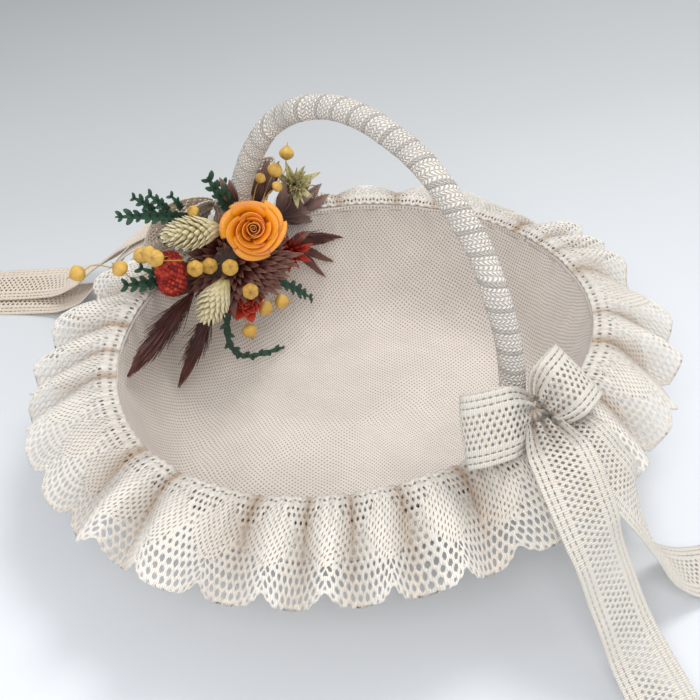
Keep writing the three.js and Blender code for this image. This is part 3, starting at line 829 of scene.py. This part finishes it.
def add_sleeve(node, material):
    """A short cloth tube sewn to the lining round the foot of the handle."""
    side = np.sign(middle_and_half(node)[0][1])
    foot = np.array((0, side * HANDLE_FOOT[0] * MM, HANDLE_FOOT[1] * MM))
    upward = unit(np.array((0, side * 4.5, 12.0)))
    rows, columns = 12, 48
    level = np.linspace(-4.5 * MM, 4.3 * MM, rows)[:, None, None]
    turn = np.arange(columns) / columns
    radius = SLEEVE_RADIUS + 0.2 * MM * np.sin(TAU * 7 * turn)
    across = np.cross(upward, (1.0, 0, 0))
    ring = np.cos(TAU * turn)[:, None] * (1.0, 0, 0) + np.sin(TAU * turn)[:, None] * across
    points = foot + level * upward + ring[None] * radius[:, None]
    cloth = stacked(turn * 0.04, level[..., 0], 0.0)
    faces = grid_faces(rows, columns, closed=True)
    piece = add_piece(f"{node}_cloth", points, faces, material, [node], {"cloth": cloth}, 0.6 * MM)


def add_pad(material):
    """The felt disc under the bowl."""
    low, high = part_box("base_pad")
    turn = (np.arange(220) / 220)[None, :]
    radius = np.concatenate([np.linspace(2, 78, 24), [79.4, 80]]) * MM
    ripple = 0.08 * MM * np.sin(TAU * 5 * turn + radius[:, None] * 90)
    mid = (low.z + high.z) / 2
    points = oval_point(turn, radius[:, None], 0 * turn * radius[:, None])
    points[..., 2] = mid + ripple
    faces = tube_faces(len(radius), 220, (True, False))
    piece = add_piece("felt_pad", points, faces, material, ["base_pad"], {}, 1.5 * MM)


# ---------------------------------------------------------------- flowers

def blade(shapes, stops, out, half_width, rows=12, columns=7, cup=0.3, ripple=0.0, seed=0):
    """A petal, leaf or bract along a curved line. out is the side that its upper face looks to."""
    line, length = spline(np.asarray(stops, float), rows)
    tangent = unit(np.gradient(line, axis=0))
    side = unit(np.cross(np.asarray(out, float), tangent))
    normal = np.cross(tangent, side)
    share = np.linspace(0, 1, rows)
    width = half_width(share)[:, None]
    s = np.linspace(-1, 1, columns)[None, :]
    dice = np.random.default_rng(seed)
    wave = ripple * length * np.sin(TAU * (2.2 * share[:, None] + dice.random()) + 2 * s) * s ** 2
    lift = cup * width * s ** 2 + wave
    points = line[:, None] + side[:, None] * (width * s)[..., None] + normal[:, None] * lift[..., None]
    marks = stacked(s, dice.random(), share[:, None])
    shapes.add(points, grid_faces(rows, columns), marks)


def pointed(width, belly=0.4, foot=0.25):
    """Half width of a pointed leaf, fullest at belly."""
    def half_width(t):
        rise = foot + (1 - foot) * np.sin(np.clip(t / belly, 0, 1) * math.pi / 2)
        return width * rise * np.clip((1 - t) / (1 - belly), 0, 1) ** 0.75 + 0.05 * MM
    return half_width


def rounded(width):
    """Half width of a petal with a narrow foot and a round end."""
    return lambda t: width * (0.3 + 0.7 * t ** 0.7) * np.clip(1 - t ** 5, 0.02, 1) ** 0.5


def finger(width):
    """Half width of a leaf's blunt finger, nearly even along it."""
    return lambda t: width * (0.85 + 0.15 * np.sin(math.pi * t)) * np.clip(1 - t ** 4, 0.05, 1) ** 0.5


def in_axes(origin, axes, points):
    return np.asarray(origin) + np.asarray(points, float) @ axes


def cone_petals(shapes, base, toward, count, inner, outer, width, seed, cup=0.4, shape=pointed):
    """Petals set round an axis in a spiral.

    inner and outer are the (length, lean in degrees) of the first and the last.
    """
    axes = axes_for(toward)
    dice = np.random.default_rng(seed)
    for k in range(count):
        share = (k + 0.5) / count
        angle = k * GOLDEN_ANGLE + dice.uniform(-0.2, 0.2)
        length = (inner[0] + (outer[0] - inner[0]) * share) * dice.uniform(0.85, 1.12) * MM
        lean = math.radians(inner[1] + (outer[1] - inner[1]) * share + dice.uniform(-7, 7))
        away = np.array((math.cos(angle), math.sin(angle), 0))
        rise = np.array((0, 0, 1.0))
        foot = away * 1.2 * MM * share
        middle = foot + (away * math.sin(lean) * 0.45 + rise * math.cos(lean * 0.6) * 0.5) * length
        tip = foot + (away * math.sin(lean) + rise * math.cos(lean)) * length
        out = -away * math.cos(lean) + rise * math.sin(lean) + 1e-3
        line = in_axes(base, axes, [foot, middle, tip])
        half_width = shape(width * MM * dice.uniform(0.8, 1.15))
        blade(shapes, line, out @ axes, half_width, 9, 5, cup, 0.02, seed * 97 + k)


ROSE_WHORLS = [  # petals, radius and height of their tops, half the turn each covers, outward curl
    (2, 0.45, 19.6, 2.9, 0.0), (2, 1.3, 20.3, 2.0, 0.1), (3, 2.6, 20.2, 1.5, 0.3),
    (3, 4.2, 19.6, 1.25, 0.7), (4, 6.2, 18.6, 1.0, 1.3),
    (5, 8.6, 16.6, 0.86, 2.0), (5, 10.6, 13.0, 0.84, 2.6),
]


def add_rose(material):
    """A full rose: petals in whorls, tight at the heart and curling outward at the edge."""
    axes = axes_for(BLOOM_SIDE)
    shapes = Shapes()
    dice = np.random.default_rng(11)
    t = np.linspace(0, 1, 20)[:, None]
    s = np.linspace(-1, 1, 25)[None, :]
    for number, (count, top, height, spread, curl) in enumerate(ROSE_WHORLS):
        lean = (0.7 - 0.12 * number) * MM
        for k in range(count):
            angle = TAU * k / count + number * 1.1 + dice.uniform(-0.35, 0.35)
            opening = 0.5 + 0.5 * np.sin(np.clip(t * 1.2, 0, 1) * math.pi / 2)
            wide = spread * dice.uniform(0.92, 1.12) * opening
            out = top * dice.uniform(0.9, 1.1)
            rise = height + dice.uniform(-0.8, 0.6)
            tuck = 0.16 * out * s + 0.05 * out * np.sin(3 * s + dice.uniform(0, 6))
            lip = curl * dice.uniform(0.7, 1.3) * smoothstep(t, 0.72, 1.0)
            radius = out * (0.32 + 0.68 * t ** 0.6) + tuck * t + lip * (1 - 0.2 * s ** 2)
            level = rise * t ** 1.1 * (1 - 0.2 * np.abs(s) ** 2.5 * t) - lip * 0.8 * smoothstep(t, 0.85, 1)
            level = level + 0.3 * np.sin(6 * s + dice.uniform(0, 6)) * t ** 3
            phi = angle + wide * s
            local = stacked(radius * np.cos(phi), radius * np.sin(phi), level)
            local = local * MM + lean * np.array((0.6, 0.8, 0))
            marks = stacked(s, dice.random(), t)
            shapes.add(in_axes(ROSE_BASE, axes, local), grid_faces(20, 25), marks)
    shapes.piece("rose_petals", material, "rose_petal", ["rose"], 0.3 * MM)


def add_green_parts(green):
    calyx = Shapes()
    cone_petals(calyx, ROSE_BASE - np.array(BLOOM_SIDE) * 1 * MM, BLOOM_SIDE, 9, (9, 30), (13, 62), 2.6, 3)
    calyx.piece("rose_sepals", green, "green_stem", ["rose_calyx"], 0.4 * MM)
    stems = Shapes()
    dice = np.random.default_rng(12)
    for _ in range(11):
        start = np.array((11, 74.5, 54)) + dice.uniform(-2.4, 2.4, 3) * (1, 0.8, 0.4)
        end = start + np.array((0.1, -0.15, -1)) * dice.uniform(10, 13)
        end = end + dice.uniform(-1.5, 1.5, 3) * (1, 0.5, 0)
        line, _ = spline(np.array([start, (start + end) / 2 + dice.uniform(-0.5, 0.5, 3), end]) * MM, 8)
        points, faces = tube(line, np.full(8, 0.75 * MM), 8)
        stems.add(points, faces, (0.3, dice.random(), 0.4))
    stems.piece("cut_stems", green, "green_stem", ["stem_bundle"])


def add_canary_grass(node, base, tip, radius, material):
    """A head of pale papery scales, each keeled and pointed, packed round an axis."""
    base, tip = np.array(base) * MM, np.array(tip) * MM
    axes = axes_for(tip - base)
    length = np.linalg.norm(tip - base)
    shapes = Shapes()
    count = 110
    for k in range(count):
        level = (k + 0.5) / count
        girth = radius * MM * math.sin(math.pi * (0.12 + 0.84 * level)) ** 0.7
        angle = k * GOLDEN_ANGLE
        away = np.array((math.cos(angle), math.sin(angle), 0))
        foot = away * girth * 0.45 + (0, 0, length * (level * 0.82 - 0.02))
        middle = away * girth * 0.86 + (0, 0, length * (level * 0.82 + 0.1))
        end = away * girth * 1.12 + (0, 0, length * min(level * 0.82 + 0.25, 1.04))
        line = in_axes(base, axes, [foot, middle, end])
        blade(shapes, line, away @ axes, pointed(1.7 * MM, 0.4, 0.5), 8, 5, -0.75, 0.0, k)
    shapes.piece(f"{node}_scales", material, "pale_seed", [node], 0.25 * MM)


def add_pompon(node, base, toward, length, radius, material):
    """A long bloom made of small round florets."""
    base = np.array(base) * MM
    axes = axes_for(toward)
    shapes = Shapes()
    dice = np.random.default_rng(77)
    count = 190
    turn = np.arange(8) * TAU / 8
    for k in range(count):
        level = (k + 0.5) / count
        angle = k * GOLDEN_ANGLE
        girth = radius * 0.84 * math.sqrt(max(1 - (2 * level - 1) ** 4, 0.02))
        middle = np.array((girth * math.cos(angle), girth * math.sin(angle), length * (0.03 + 0.94 * level)))
        size = dice.uniform(1.0, 1.55)
        polar = np.linspace(0.12, math.pi - 0.12, 6)
        ball = np.stack([np.outer(np.sin(polar), np.cos(turn)), np.outer(np.sin(polar), np.sin(turn)),
                         np.outer(np.cos(polar), np.ones(8))], -1)
        lobes = (1 - 0.12 * np.cos(5 * turn))[None, :, None]
        points = in_axes(base, axes, (middle + ball * size * lobes) * MM)
        shapes.add(points, tube_faces(6, 8), (0.0, dice.random(), dice.random()))
    core, faces = tube(in_axes(base, axes, np.array([(0, 0, length * k / 8) for k in range(1, 8)]) * MM),
                       radius * MM * 0.75 * np.sin(np.linspace(0.5, 2.64, 7)), 14)
    shapes.add(core, faces, (0.0, 0.1, 0.0))
    shapes.piece(f"{node}_florets", material, "red_bloom", [node])


def add_spiky_bloom(node, base, toward, length, radius, material, slot, seed, bracts=10):
    """Narrow florets standing up from the middle, with wider pointed bracts behind them."""
    base = np.array(base) * MM
    shapes = Shapes()
    wide = math.degrees(math.atan2(radius, length * 0.55))
    cone_petals(shapes, base, toward, 46, (length, 3), (length * 0.86, wide * 0.8), 0.95, seed, 0.5)
    behind = (length * 0.8, wide), (length * 0.8, wide * 1.35)
    cone_petals(shapes, base, toward, bracts, *behind, 2.1, seed + 1)
    shapes.piece(f"{node}_florets", material, slot, [node], 0.3 * MM)


def add_cup_bloom(node, base, toward, length, radius, material):
    """A small half-open bloom of broad round petals."""
    base = np.array(base) * MM
    shapes = Shapes()
    petals = (length * 0.7, 6), (length * 0.95, 46)
    cone_petals(shapes, base, toward, 26, *petals, radius * 0.42, 55, 0.7, rounded)
    shapes.piece(f"{node}_petals", material, "red_bloom", [node], 0.35 * MM)


PODS = [
    ((-84, 84, 87), (-1, 0.1, -0.1)), ((-65, 82, 82), (-0.6, 0.2, 0.8)), ((-54, 82, 83), (-1, 0, 0.1)),
    ((-55, 74, 88.5), (-0.8, 0, 0.5)), ((-57, 65.5, 91.5), (-0.6, -0.4, 0.6)),
    ((-38, 65, 77.5), (-0.5, -0.5, 0.5)), ((-28, 68, 72.5), (-0.3, -0.7, 0.4)),
    ((-25, 57, 76), (-0.4, -0.6, 0.6)), ((-18.5, 52, 62.5), (-0.5, -0.7, 0.5)),
    ((-4.5, 59, 42), (0.2, -0.8, 0)), ((4.5, 58, 42), (0.5, -0.7, 0)), ((-15, 59, 34), (-0.2, -0.7, -0.6)),
    ((40, 93.5, 93), (0.5, 0.4, 0.8)), ((18, 75.5, 100), (0.3, -0.3, 0.9)),
]
SMALL_PODS = [
    ((9.5, 76, 99), (0.2, -0.3, 0.9)), ((13.5, 69, 96), (0.4, -0.5, 0.7)), ((-26, 80, 95), (-0.5, -0.2, 0.8)),
    ((-47, 76, 79), (-0.7, -0.3, 0.4)),
]
SPRAY_HEART = np.array((-6.0, 74.0, 66.0))


def pod(shapes, centre, toward, size, seed):
    """A ribbed seed pod with a pointed tip, on a thin stem that bends back to the spray."""
    axes = axes_for(toward)
    dice = np.random.default_rng(seed)
    rows, columns = 18, 40
    level = np.linspace(0, 1, rows)[:, None]
    turn = (np.arange(columns) / columns * TAU)[None, :]
    girth = np.sin(math.pi * np.clip(level * 1.22, 0, 1) ** 0.85) ** 0.75
    girth = np.where(level > 0.62, np.maximum(girth, 0.11 * (1 - level) / 0.38 + 0.02), girth)
    girth = np.maximum(girth, 0.09 * (level < 0.1))
    ribs = 1 - 0.055 * np.abs(np.cos(3 * turn)) ** 4
    height = (level * 2.35 - 1.0) * size
    reach = girth * ribs * size
    points = stacked(reach * np.cos(turn), reach * np.sin(turn), height)
    marks = stacked(np.sin(3 * turn), dice.random(), level)
    centre = np.array(centre) * MM
    shapes.add(in_axes(centre, axes, points), tube_faces(rows, columns), marks)
    foot = centre - axes[2] * size
    heart = SPRAY_HEART * MM
    bend = foot - axes[2] * 5 * MM
    toward_heart = foot + (heart - foot) * min(1, 16 * MM / np.linalg.norm(heart - foot)) + (0, 0, -1.5 * MM)
    line, _ = spline(np.array([foot + axes[2] * 0.4 * MM, bend, toward_heart]), 14)
    stem, faces = tube(line, np.full(14, 0.26 * MM), 7)
    shapes.add(stem, faces, (0.9, dice.random(), 0.02))


def add_pods(material):
    for number, (centre, toward) in enumerate(PODS, 1):
        shapes = Shapes()
        pod(shapes, centre, toward, 3.7 * MM, number)
        shapes.piece(f"pod_{number}", material, "flax_pod", [f"flax_pod_{number}"])
    shapes = Shapes()
    for number, (centre, toward) in enumerate(SMALL_PODS):
        pod(shapes, centre, toward, 2.6 * MM, 50 + number)
    shapes.piece("small_pods", material, "flax_pod")


def frond(shapes, base, tip, out, width, lobes, seed):
    """A cut leaf: a narrow middle with pairs of blunt fingers."""
    base, tip = np.array(base) * MM, np.array(tip) * MM
    out = unit(np.asarray(out, float))
    line, _ = spline(np.array([base, (base + tip) / 2 + out * 1.5 * MM, tip]), 40)
    tangent = unit(np.gradient(line, axis=0))
    side = unit(np.cross(out, tangent))

    def half_width(t):
        return width * MM * (0.5 - 0.24 * t) * np.clip(1 - t ** 6, 0.1, 1)

    blade(shapes, line[::3], out, half_width, 30, 7, 0.25, 0.01, seed)
    dice = np.random.default_rng(seed)
    for k in range(lobes):
        at = int(5 + 31 * k / max(lobes - 1, 1))
        envelope = 0.55 + 0.45 * math.sin(math.pi * (0.3 + 0.6 * k / lobes))
        for hand in (-1, 1):
            reach = width * MM * envelope * dice.uniform(0.8, 1.2)
            way = unit(side[at] * hand * 0.8 + tangent[at] * 0.6)
            start = line[at]
            bend = start + way * reach * 0.5 + out * 0.4 * MM
            end = bend + unit(way + tangent[at] * 0.4) * reach * 0.5 - out * dice.uniform(0, 1.0) * MM
            blade(shapes, [start, bend, end], out, finger(reach * 0.26), 9, 5, 0.25, 0.02, seed * 31 + k)


FRONDS = {  # base, tip, half width and pairs of fingers of each frond
    "oak_leaf_upper_left": ((-0.3, -0.6, 0.7), [
        ((-25, 86, 88), (-61, 86, 104), 4.6, 8), ((-34, 87, 95), (-43, 87, 107), 3.6, 4),
        ((-41, 87, 98), (-51, 87, 109), 3.4, 4), ((-27, 87, 93), (-32, 87, 102), 3.0, 3),
        ((-28, 84, 89), (-42, 82, 86), 3.0, 4)]),
    "oak_leaf_top": ((-0.4, -0.9, 0.2), [
        ((-5, 80, 86), (-17, 80, 108), 5.4, 5), ((-5, 80.5, 88), (-9, 80.5, 102), 4.0, 3)]),
    "oak_leaf_lower_left": ((-0.4, -0.8, 0.4), [
        ((-45, 78, 68), (-66, 79, 75), 4.4, 5), ((-45, 78, 70), (-57, 79, 80), 3.4, 3)]),
    "oak_leaf_right": ((0.3, -0.8, 0.5), [
        ((-1, 67, 56), (29, 64, 28), 4.6, 7), ((4, 68, 53), (13, 67, 49), 3.4, 3)]),
}


def add_leaves(leaf, plume, dry):
    for seed, (node, (out, fronds)) in enumerate(FRONDS.items()):
        shapes = Shapes()
        for k, (base, tip, width, lobes) in enumerate(fronds):
            frond(shapes, base, tip, out, width, lobes, 10 * seed + k + 60)
        shapes.piece(f"{node}_cut", leaf, "oak_leaf", [node], 0.35 * MM)
    add_tendril(leaf)
    for seed, (node, base, tip) in enumerate((
            ("grass_plume_left", (-38, 69, 62), (-86, 50, 54)),
            ("grass_plume_lower", (-33, 63, 52), (-56, 60, 24)),
            ("grass_plume_right", (31, 74, 60), (54, 70, 50)))):
        girth, count = ((6.5, 420), (5.2, 330), (2.4, 150))[seed]
        add_plume(node, base, tip, girth, count, plume, seed)
    for seed, (node, base, tip) in enumerate((
            ("dry_leaf_upper", (16, 85, 82), (19, 87, 101)),
            ("dry_leaf_right", (36, 86, 66.5), (56, 89, 74)))):
        add_dry_leaves(node, base, tip, dry, seed)


def add_tendril(material):
    """A flat curling strip with small side lobes."""
    stops = np.array([(-28, 58, 52), (-29, 57, 38), (-24, 57.5, 27), (-14, 59, 19), (6, 60, 12.5)]) * MM
    shapes = Shapes()
    out = unit(np.array((-0.4, -0.8, 0.3)))
    blade(shapes, stops, out, lambda t: (1.5 - 0.5 * t + 0.35 * np.sin(50 * t)) * MM, 40, 5, 0.2, 0.004, 5)
    line, _ = spline(stops, 12)
    tangent = unit(np.gradient(line, axis=0))
    for k in range(1, 11):
        hand = -1 if k % 2 else 1
        way = unit(np.cross(out, tangent[k]) * hand + tangent[k] * 0.7)
        reach = (4.4 - 0.15 * k) * MM
        hair = [line[k], line[k] + way * reach * 0.6, line[k] + way * reach]
        blade(shapes, hair, out, pointed(1.1 * MM, 0.4, 0.8), 7, 5, 0.2, 0.0, k)
    shapes.piece("tendril", material, "oak_leaf", ["curled_tendril"], 0.35 * MM)


def add_plume(node, base, tip, girth, count, material, seed):
    """A dense brush of silky hairs that lie forward along it and close to a point."""
    base, tip = np.array(base) * MM, np.array(tip) * MM
    dice = np.random.default_rng(seed + 500)
    axes = axes_for(tip - base)
    length = np.linalg.norm(tip - base)
    shapes = Shapes()
    for _ in range(count):
        start = dice.uniform(-0.02, 0.62)
        end = min(start + dice.uniform(0.28, 0.5), 1.02)
        angle, out = dice.uniform(0, TAU), dice.uniform(0.3, 1.0)
        way = np.array((math.cos(angle), math.sin(angle), 0.0)) * girth * MM * out
        flare = dice.uniform(0.5, 1.5) * math.sin(math.pi * min(0.25 + 0.75 * end, 1.0)) + 0.12
        line = in_axes(base, axes, [
            way * 0.25 * math.sin(math.pi * (0.1 + 0.8 * start)) + (0, 0, start * length),
            way * (0.5 + 0.4 * flare) * 0.75 + (0, 0, (start + end) / 2 * length),
            way * flare + (0, 0, end * length)])
        path, _ = spline(line, 9)
        points, faces = tube(path, np.linspace(0.36, 0.1, 9) * MM, 4)
        shapes.add(points, faces, (0.0, dice.random(), 0.75 * start + dice.uniform(0, 0.3)))
    shapes.piece(f"{node}_hairs", material, "brown_plume", [node])


def add_heart_filler(material):
    """Dark narrow leaves that fill the spray behind the blooms and hide the pad."""
    dice = np.random.default_rng(303)
    shapes = Shapes()
    heart = np.array((-13.0, 71.0, 66.0))
    axes = axes_for(BLOOM_SIDE)
    for k in range(130):
        angle = k * GOLDEN_ANGLE
        share = math.sqrt((k + 0.5) / 130)
        away = np.array((math.cos(angle) * 1.35, math.sin(angle), 0.0))
        foot = in_axes(heart, axes, away * 13 * share)
        reach = dice.uniform(8, 14)
        tip = foot + (away * (0.35 + 0.6 * share) + (0, 0, 0.62 - 0.42 * share)) @ axes * reach
        if tip[1] > 86:
            continue
        middle = (foot + tip) / 2 + np.array(BLOOM_SIDE) * 1.2
        line = np.array([foot, middle, tip]) * MM
        blade(shapes, line, BLOOM_SIDE, pointed(dice.uniform(1.2, 2.1) * MM, 0.45, 0.4), 10, 5, 0.5, 0.03, k)
    shapes.piece("dark_filler", material, "oak_leaf", (), 0.3 * MM)


def add_dry_leaves(node, base, tip, material, seed):
    """A few pointed dry bracts that share a foot."""
    base, tip = np.array(base) * MM, np.array(tip) * MM
    reach = tip - base
    length = np.linalg.norm(reach)
    side = unit(np.cross(reach, BLOOM_SIDE))
    shapes = Shapes()
    for k, lean in enumerate((-0.42, -0.16, 0.12, 0.4)):
        end = base + reach * (1 - 0.25 * abs(lean)) + side * lean * length
        middle = base + reach * 0.45 + side * lean * length * 0.7 + np.array(BLOOM_SIDE) * 1.2 * MM
        half_width = pointed(2.9 * MM, 0.45, 0.3)
        blade(shapes, [base, middle, end], BLOOM_SIDE, half_width, 14, 7, 0.45, 0.03, seed * 9 + k)
    shapes.piece(f"{node}_bracts", material, "dry_leaf", [node], 0.3 * MM)


def add_bract_cluster(name, base, tips, width, material, slot):
    """More pointed bracts that fill the spray between the named blooms."""
    shapes = Shapes()
    base = np.array(base) * MM
    for k, tip in enumerate(tips):
        tip = np.array(tip) * MM
        middle = (base + tip) / 2 + np.array(BLOOM_SIDE) * 1.5 * MM
        blade(shapes, [base, middle, tip], BLOOM_SIDE, pointed(width * MM, 0.5, 0.3), 13, 7, 0.5, 0.03, k + 3)
    shapes.piece(name, material, slot, (), 0.3 * MM)


def add_backing(material):
    """The rough felt pad that the stems are glued to."""
    middle, half = middle_and_half("spray_backing")
    polar = np.linspace(0.05, math.pi - 0.05, 30)[:, None]
    turn = (np.arange(60) / 60 * TAU)[None, :]
    rough = 1 + 0.05 * np.sin(7 * turn) * np.sin(5 * polar) + 0.04 * np.sin(13 * turn + 4 * polar) - 0.04
    ball = stacked(np.sin(polar) * np.cos(turn), np.sin(polar) * np.sin(turn), np.cos(polar))
    points = ball * rough[..., None] * half + middle
    piece = add_piece("felt_backing", points, tube_faces(30, 60), material, ["spray_backing"])


def add_flowers(petal, green, straw, mist, red, pod_shell, leaf, plume, dry):
    add_rose(petal)
    add_green_parts(green)
    add_canary_grass("canary_grass_upper", (-13, 77.5, 81), (-45, 74, 93), 7, straw)
    add_canary_grass("canary_grass_lower", (-21, 66, 63), (-38, 63, 49), 7, straw)
    add_pompon("red_bloom_left", (-45, 75, 83), (0.08, 0, -1), 21, 7, red)
    add_spiky_bloom("red_bloom_right", (27, 79, 49.5), BLOOM_SIDE, 17, 9, red, "red_bloom", 41, bracts=9)
    add_spiky_bloom("love_in_a_mist", (40, 89, 77), BLOOM_SIDE, 17, 9, mist, "mist_bloom", 45)
    add_cup_bloom("red_bloom_front", (-9, 67.5, 44), BLOOM_SIDE, 14, 7.5, red)
    add_pods(pod_shell)
    add_leaves(leaf, plume, dry)
    add_bract_cluster("handle_bracts", (10, 80, 84), [
        (11, 82, 101), (14, 82, 99), (20, 82, 102), (23, 83, 97), (27, 84, 97)], 2.5, dry, "dry_leaf")
    add_bract_cluster("side_bracts", (22, 80, 71), [
        (55, 87, 71), (50, 84, 63), (48, 83, 57), (31, 84, 85), (36, 85, 80), (44, 86, 66), (40, 83, 59)],
        2.5, dry, "dry_leaf")
    add_bract_cluster("left_bracts", (-4, 79, 89), [(-11, 79, 106), (-6, 78.5, 103)], 2.6, dry, "dry_leaf")
    add_bract_cluster("red_bracts", (24, 75, 58), [(52, 73, 48), (50, 72, 36), (44, 72, 30), (36, 73, 60)],
                      2.0, plume, "brown_plume")
    add_heart_filler(plume)


# ---------------------------------------------------------------- stage

def add_camera():
    data = bpy.data.cameras.new("camera")
    data.lens = CAMERA_LENS
    data.sensor_width = 36.0
    camera = bpy.data.objects.new("camera", data)
    place = Vector(CAMERA_PLACE) * MM
    look = (Vector(CAMERA_TARGET) * MM - place).normalized()
    turn = look.to_track_quat("-Z", "Y").to_matrix() @ Matrix.Rotation(math.radians(CAMERA_ROLL), 3, "Z")
    camera.matrix_world = Matrix.Translation(place) @ turn.to_4x4()
    bpy.context.scene.collection.objects.link(camera)
    bpy.context.scene.camera = camera


def add_light(name, place, size, power, colour):
    data = bpy.data.lights.new(name, "AREA")
    data.shape = "DISK"
    data.size = size
    data.energy = power
    data.color = colour
    light = bpy.data.objects.new(name, data)
    place, target = Vector(place), Vector(LIGHTS_AIM)
    turn = (target - place).to_track_quat("-Z", "Y").to_matrix().to_4x4()
    light.matrix_world = Matrix.Translation(place) @ turn
    bpy.context.scene.collection.objects.link(light)


def add_stage():
    s = Shader("floor_paper_painted_shade", Roughness=0.85)
    parts = s.node("ShaderNodeSeparateXYZ", Vector=s.place()).outputs
    # Painted shade: the floor grows darker toward the back, away from the camera.
    away = s.times(s.add(parts[1], s.times(parts[0], 0.4)), 1.1)
    away = s.add(away, s.times(s.noise(s.place(), 3.0, 2.0), 0.1))
    tone = s.ramp(away, (0.0, (0.74, 0.76, 0.79)), (0.35, (0.50, 0.515, 0.52)), (0.8, (0.30, 0.31, 0.31)))
    s.finish(tone, s.noise(s.place(), 300.0, 2.0), depth=0.05 * MM, strength=0.15)
    mesh = bpy.data.meshes.new("floor")
    mesh.from_pydata([(-4, -4, 0), (4, -4, 0), (4, 4, 0), (-4, 4, 0)], [], [(0, 1, 2, 3)])
    mesh.materials.append(s.material)
    floor = bpy.data.objects.new("floor", mesh)
    bpy.context.scene.collection.objects.link(floor)
    world = bpy.data.worlds.new("soft_room")
    world.use_nodes = True
    background = world.node_tree.nodes["Background"]
    background.inputs["Color"].default_value = ROOM_COLOUR
    background.inputs["Strength"].default_value = ROOM_STRENGTH
    bpy.context.scene.world = world
    bpy.context.scene.view_settings.view_transform = "Standard"
    for name, light in LIGHTS.items():
        add_light(name, *light)


def finish_hard_parts():
    """The wires and boards under the cloth keep the frame's own shapes."""
    wire = steel("galvanised_wire")
    card = felted("grey_board", (0.55, 0.5, 0.44), (0.38, 0.34, 0.29))
    wires = ("rim_wire", "handle_core", "bow_wire_left", "bow_wire_right")
    for node in (*wires, "bowl_shell", "base_board"):
        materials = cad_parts[node].data.materials
        materials.clear()
        materials.append(wire if node in wires else card)


def flower_materials():
    # Darker and redder toward each petal's foot: partly the rose's own colour, partly painted shade deep in
    # the bloom.
    petal = soft_plant("rose_petal_orange", [
        (0.0, (0.70, 0.10, 0.004)), (0.5, (0.93, 0.30, 0.004)),
        (0.86, (0.98, 0.42, 0.01)), (1.0, (0.96, 0.36, 0.10))],
        roughness=0.5, Subsurface_Weight=0.25, Subsurface_Radius=(0.004, 0.002, 0.001), Subsurface_Scale=0.5)
    green = soft_plant("stem_green", [
        (0.0, (0.10, 0.13, 0.03)), (0.5, (0.20, 0.24, 0.07)), (1.0, (0.34, 0.30, 0.12))])
    straw = soft_plant("papery_straw", [
        (0.0, (0.30, 0.26, 0.06)), (0.35, (0.66, 0.55, 0.26)),
        (0.7, (0.88, 0.78, 0.50)), (1.0, (0.95, 0.88, 0.66))],
        roughness=0.7)
    mist = soft_plant("pale_green_bracts", [
        (0.0, (0.40, 0.40, 0.14)), (0.5, (0.68, 0.64, 0.32)),
        (0.85, (0.78, 0.70, 0.42)), (1.0, (0.40, 0.24, 0.14))])
    red = soft_plant("red_florets", [
        (0.0, (0.16, 0.004, 0.003)), (0.5, (0.42, 0.018, 0.008)), (1.0, (0.62, 0.07, 0.03))], roughness=0.7)
    pod_shell = soft_plant("golden_pod", [
        (0.0, (0.52, 0.32, 0.07)), (0.35, (0.76, 0.46, 0.09)),
        (0.7, (0.72, 0.42, 0.08)), (1.0, (0.26, 0.12, 0.03))],
        roughness=0.4)
    leaf = soft_plant("dark_green_leaf", [
        (0.0, (0.006, 0.028, 0.014)), (0.5, (0.016, 0.065, 0.034)), (1.0, (0.035, 0.11, 0.06))],
        roughness=0.5)
    plume = soft_plant("maroon_hair", [
        (0.0, (0.035, 0.008, 0.006)), (0.5, (0.10, 0.022, 0.016)), (1.0, (0.30, 0.14, 0.09))], roughness=0.35)
    dry = soft_plant("mauve_bract", [
        (0.0, (0.035, 0.014, 0.011)), (0.5, (0.15, 0.07, 0.055)), (1.0, (0.36, 0.24, 0.19))])
    return petal, green, straw, mist, red, pod_shell, leaf, plume, dry


def build():
    add_camera()
    add_stage()
    finish_hard_parts()
    # The last colour of each woven, lace and knitted material is painted shade for gaps, puckers and laps.
    linen = woven("white_linen", (0.83, 0.765, 0.70), (0.70, 0.62, 0.555), (0.25, 0.18, 0.135), 1.7 * MM)
    cover = woven("cream_linen", (0.86, 0.80, 0.71), (0.74, 0.67, 0.57), (0.24, 0.18, 0.13), 1.7 * MM)
    lace = cotton_lace("ivory_cotton_lace", (0.98, 0.94, 0.87), (0.92, 0.855, 0.76), (0.50, 0.31, 0.17))
    ribbon = cotton_lace("cotton_lace_ribbon", (0.82, 0.79, 0.73), (0.73, 0.67, 0.58), (0.36, 0.22, 0.12))
    tan_ribbon = cotton_lace("tan_cotton_ribbon", (0.80, 0.71, 0.60), (0.71, 0.59, 0.47), (0.36, 0.21, 0.11))
    knit = knitted("grey_white_knit", (1.0, 0.965, 0.90), (0.97, 0.90, 0.80), (0.68, 0.54, 0.41))
    felt = felted("cream_felt", (0.66, 0.62, 0.54), (0.50, 0.46, 0.38))
    add_bowl_cloths(linen, cover)
    add_ruffle(lace)
    add_bows(ribbon, tan_ribbon)
    add_handle(knit)
    add_trims(linen, cover, felt)
    add_backing(felted("dark_moss_felt", (0.07, 0.045, 0.03), (0.03, 0.02, 0.014)))
    add_flowers(*flower_materials())


build()
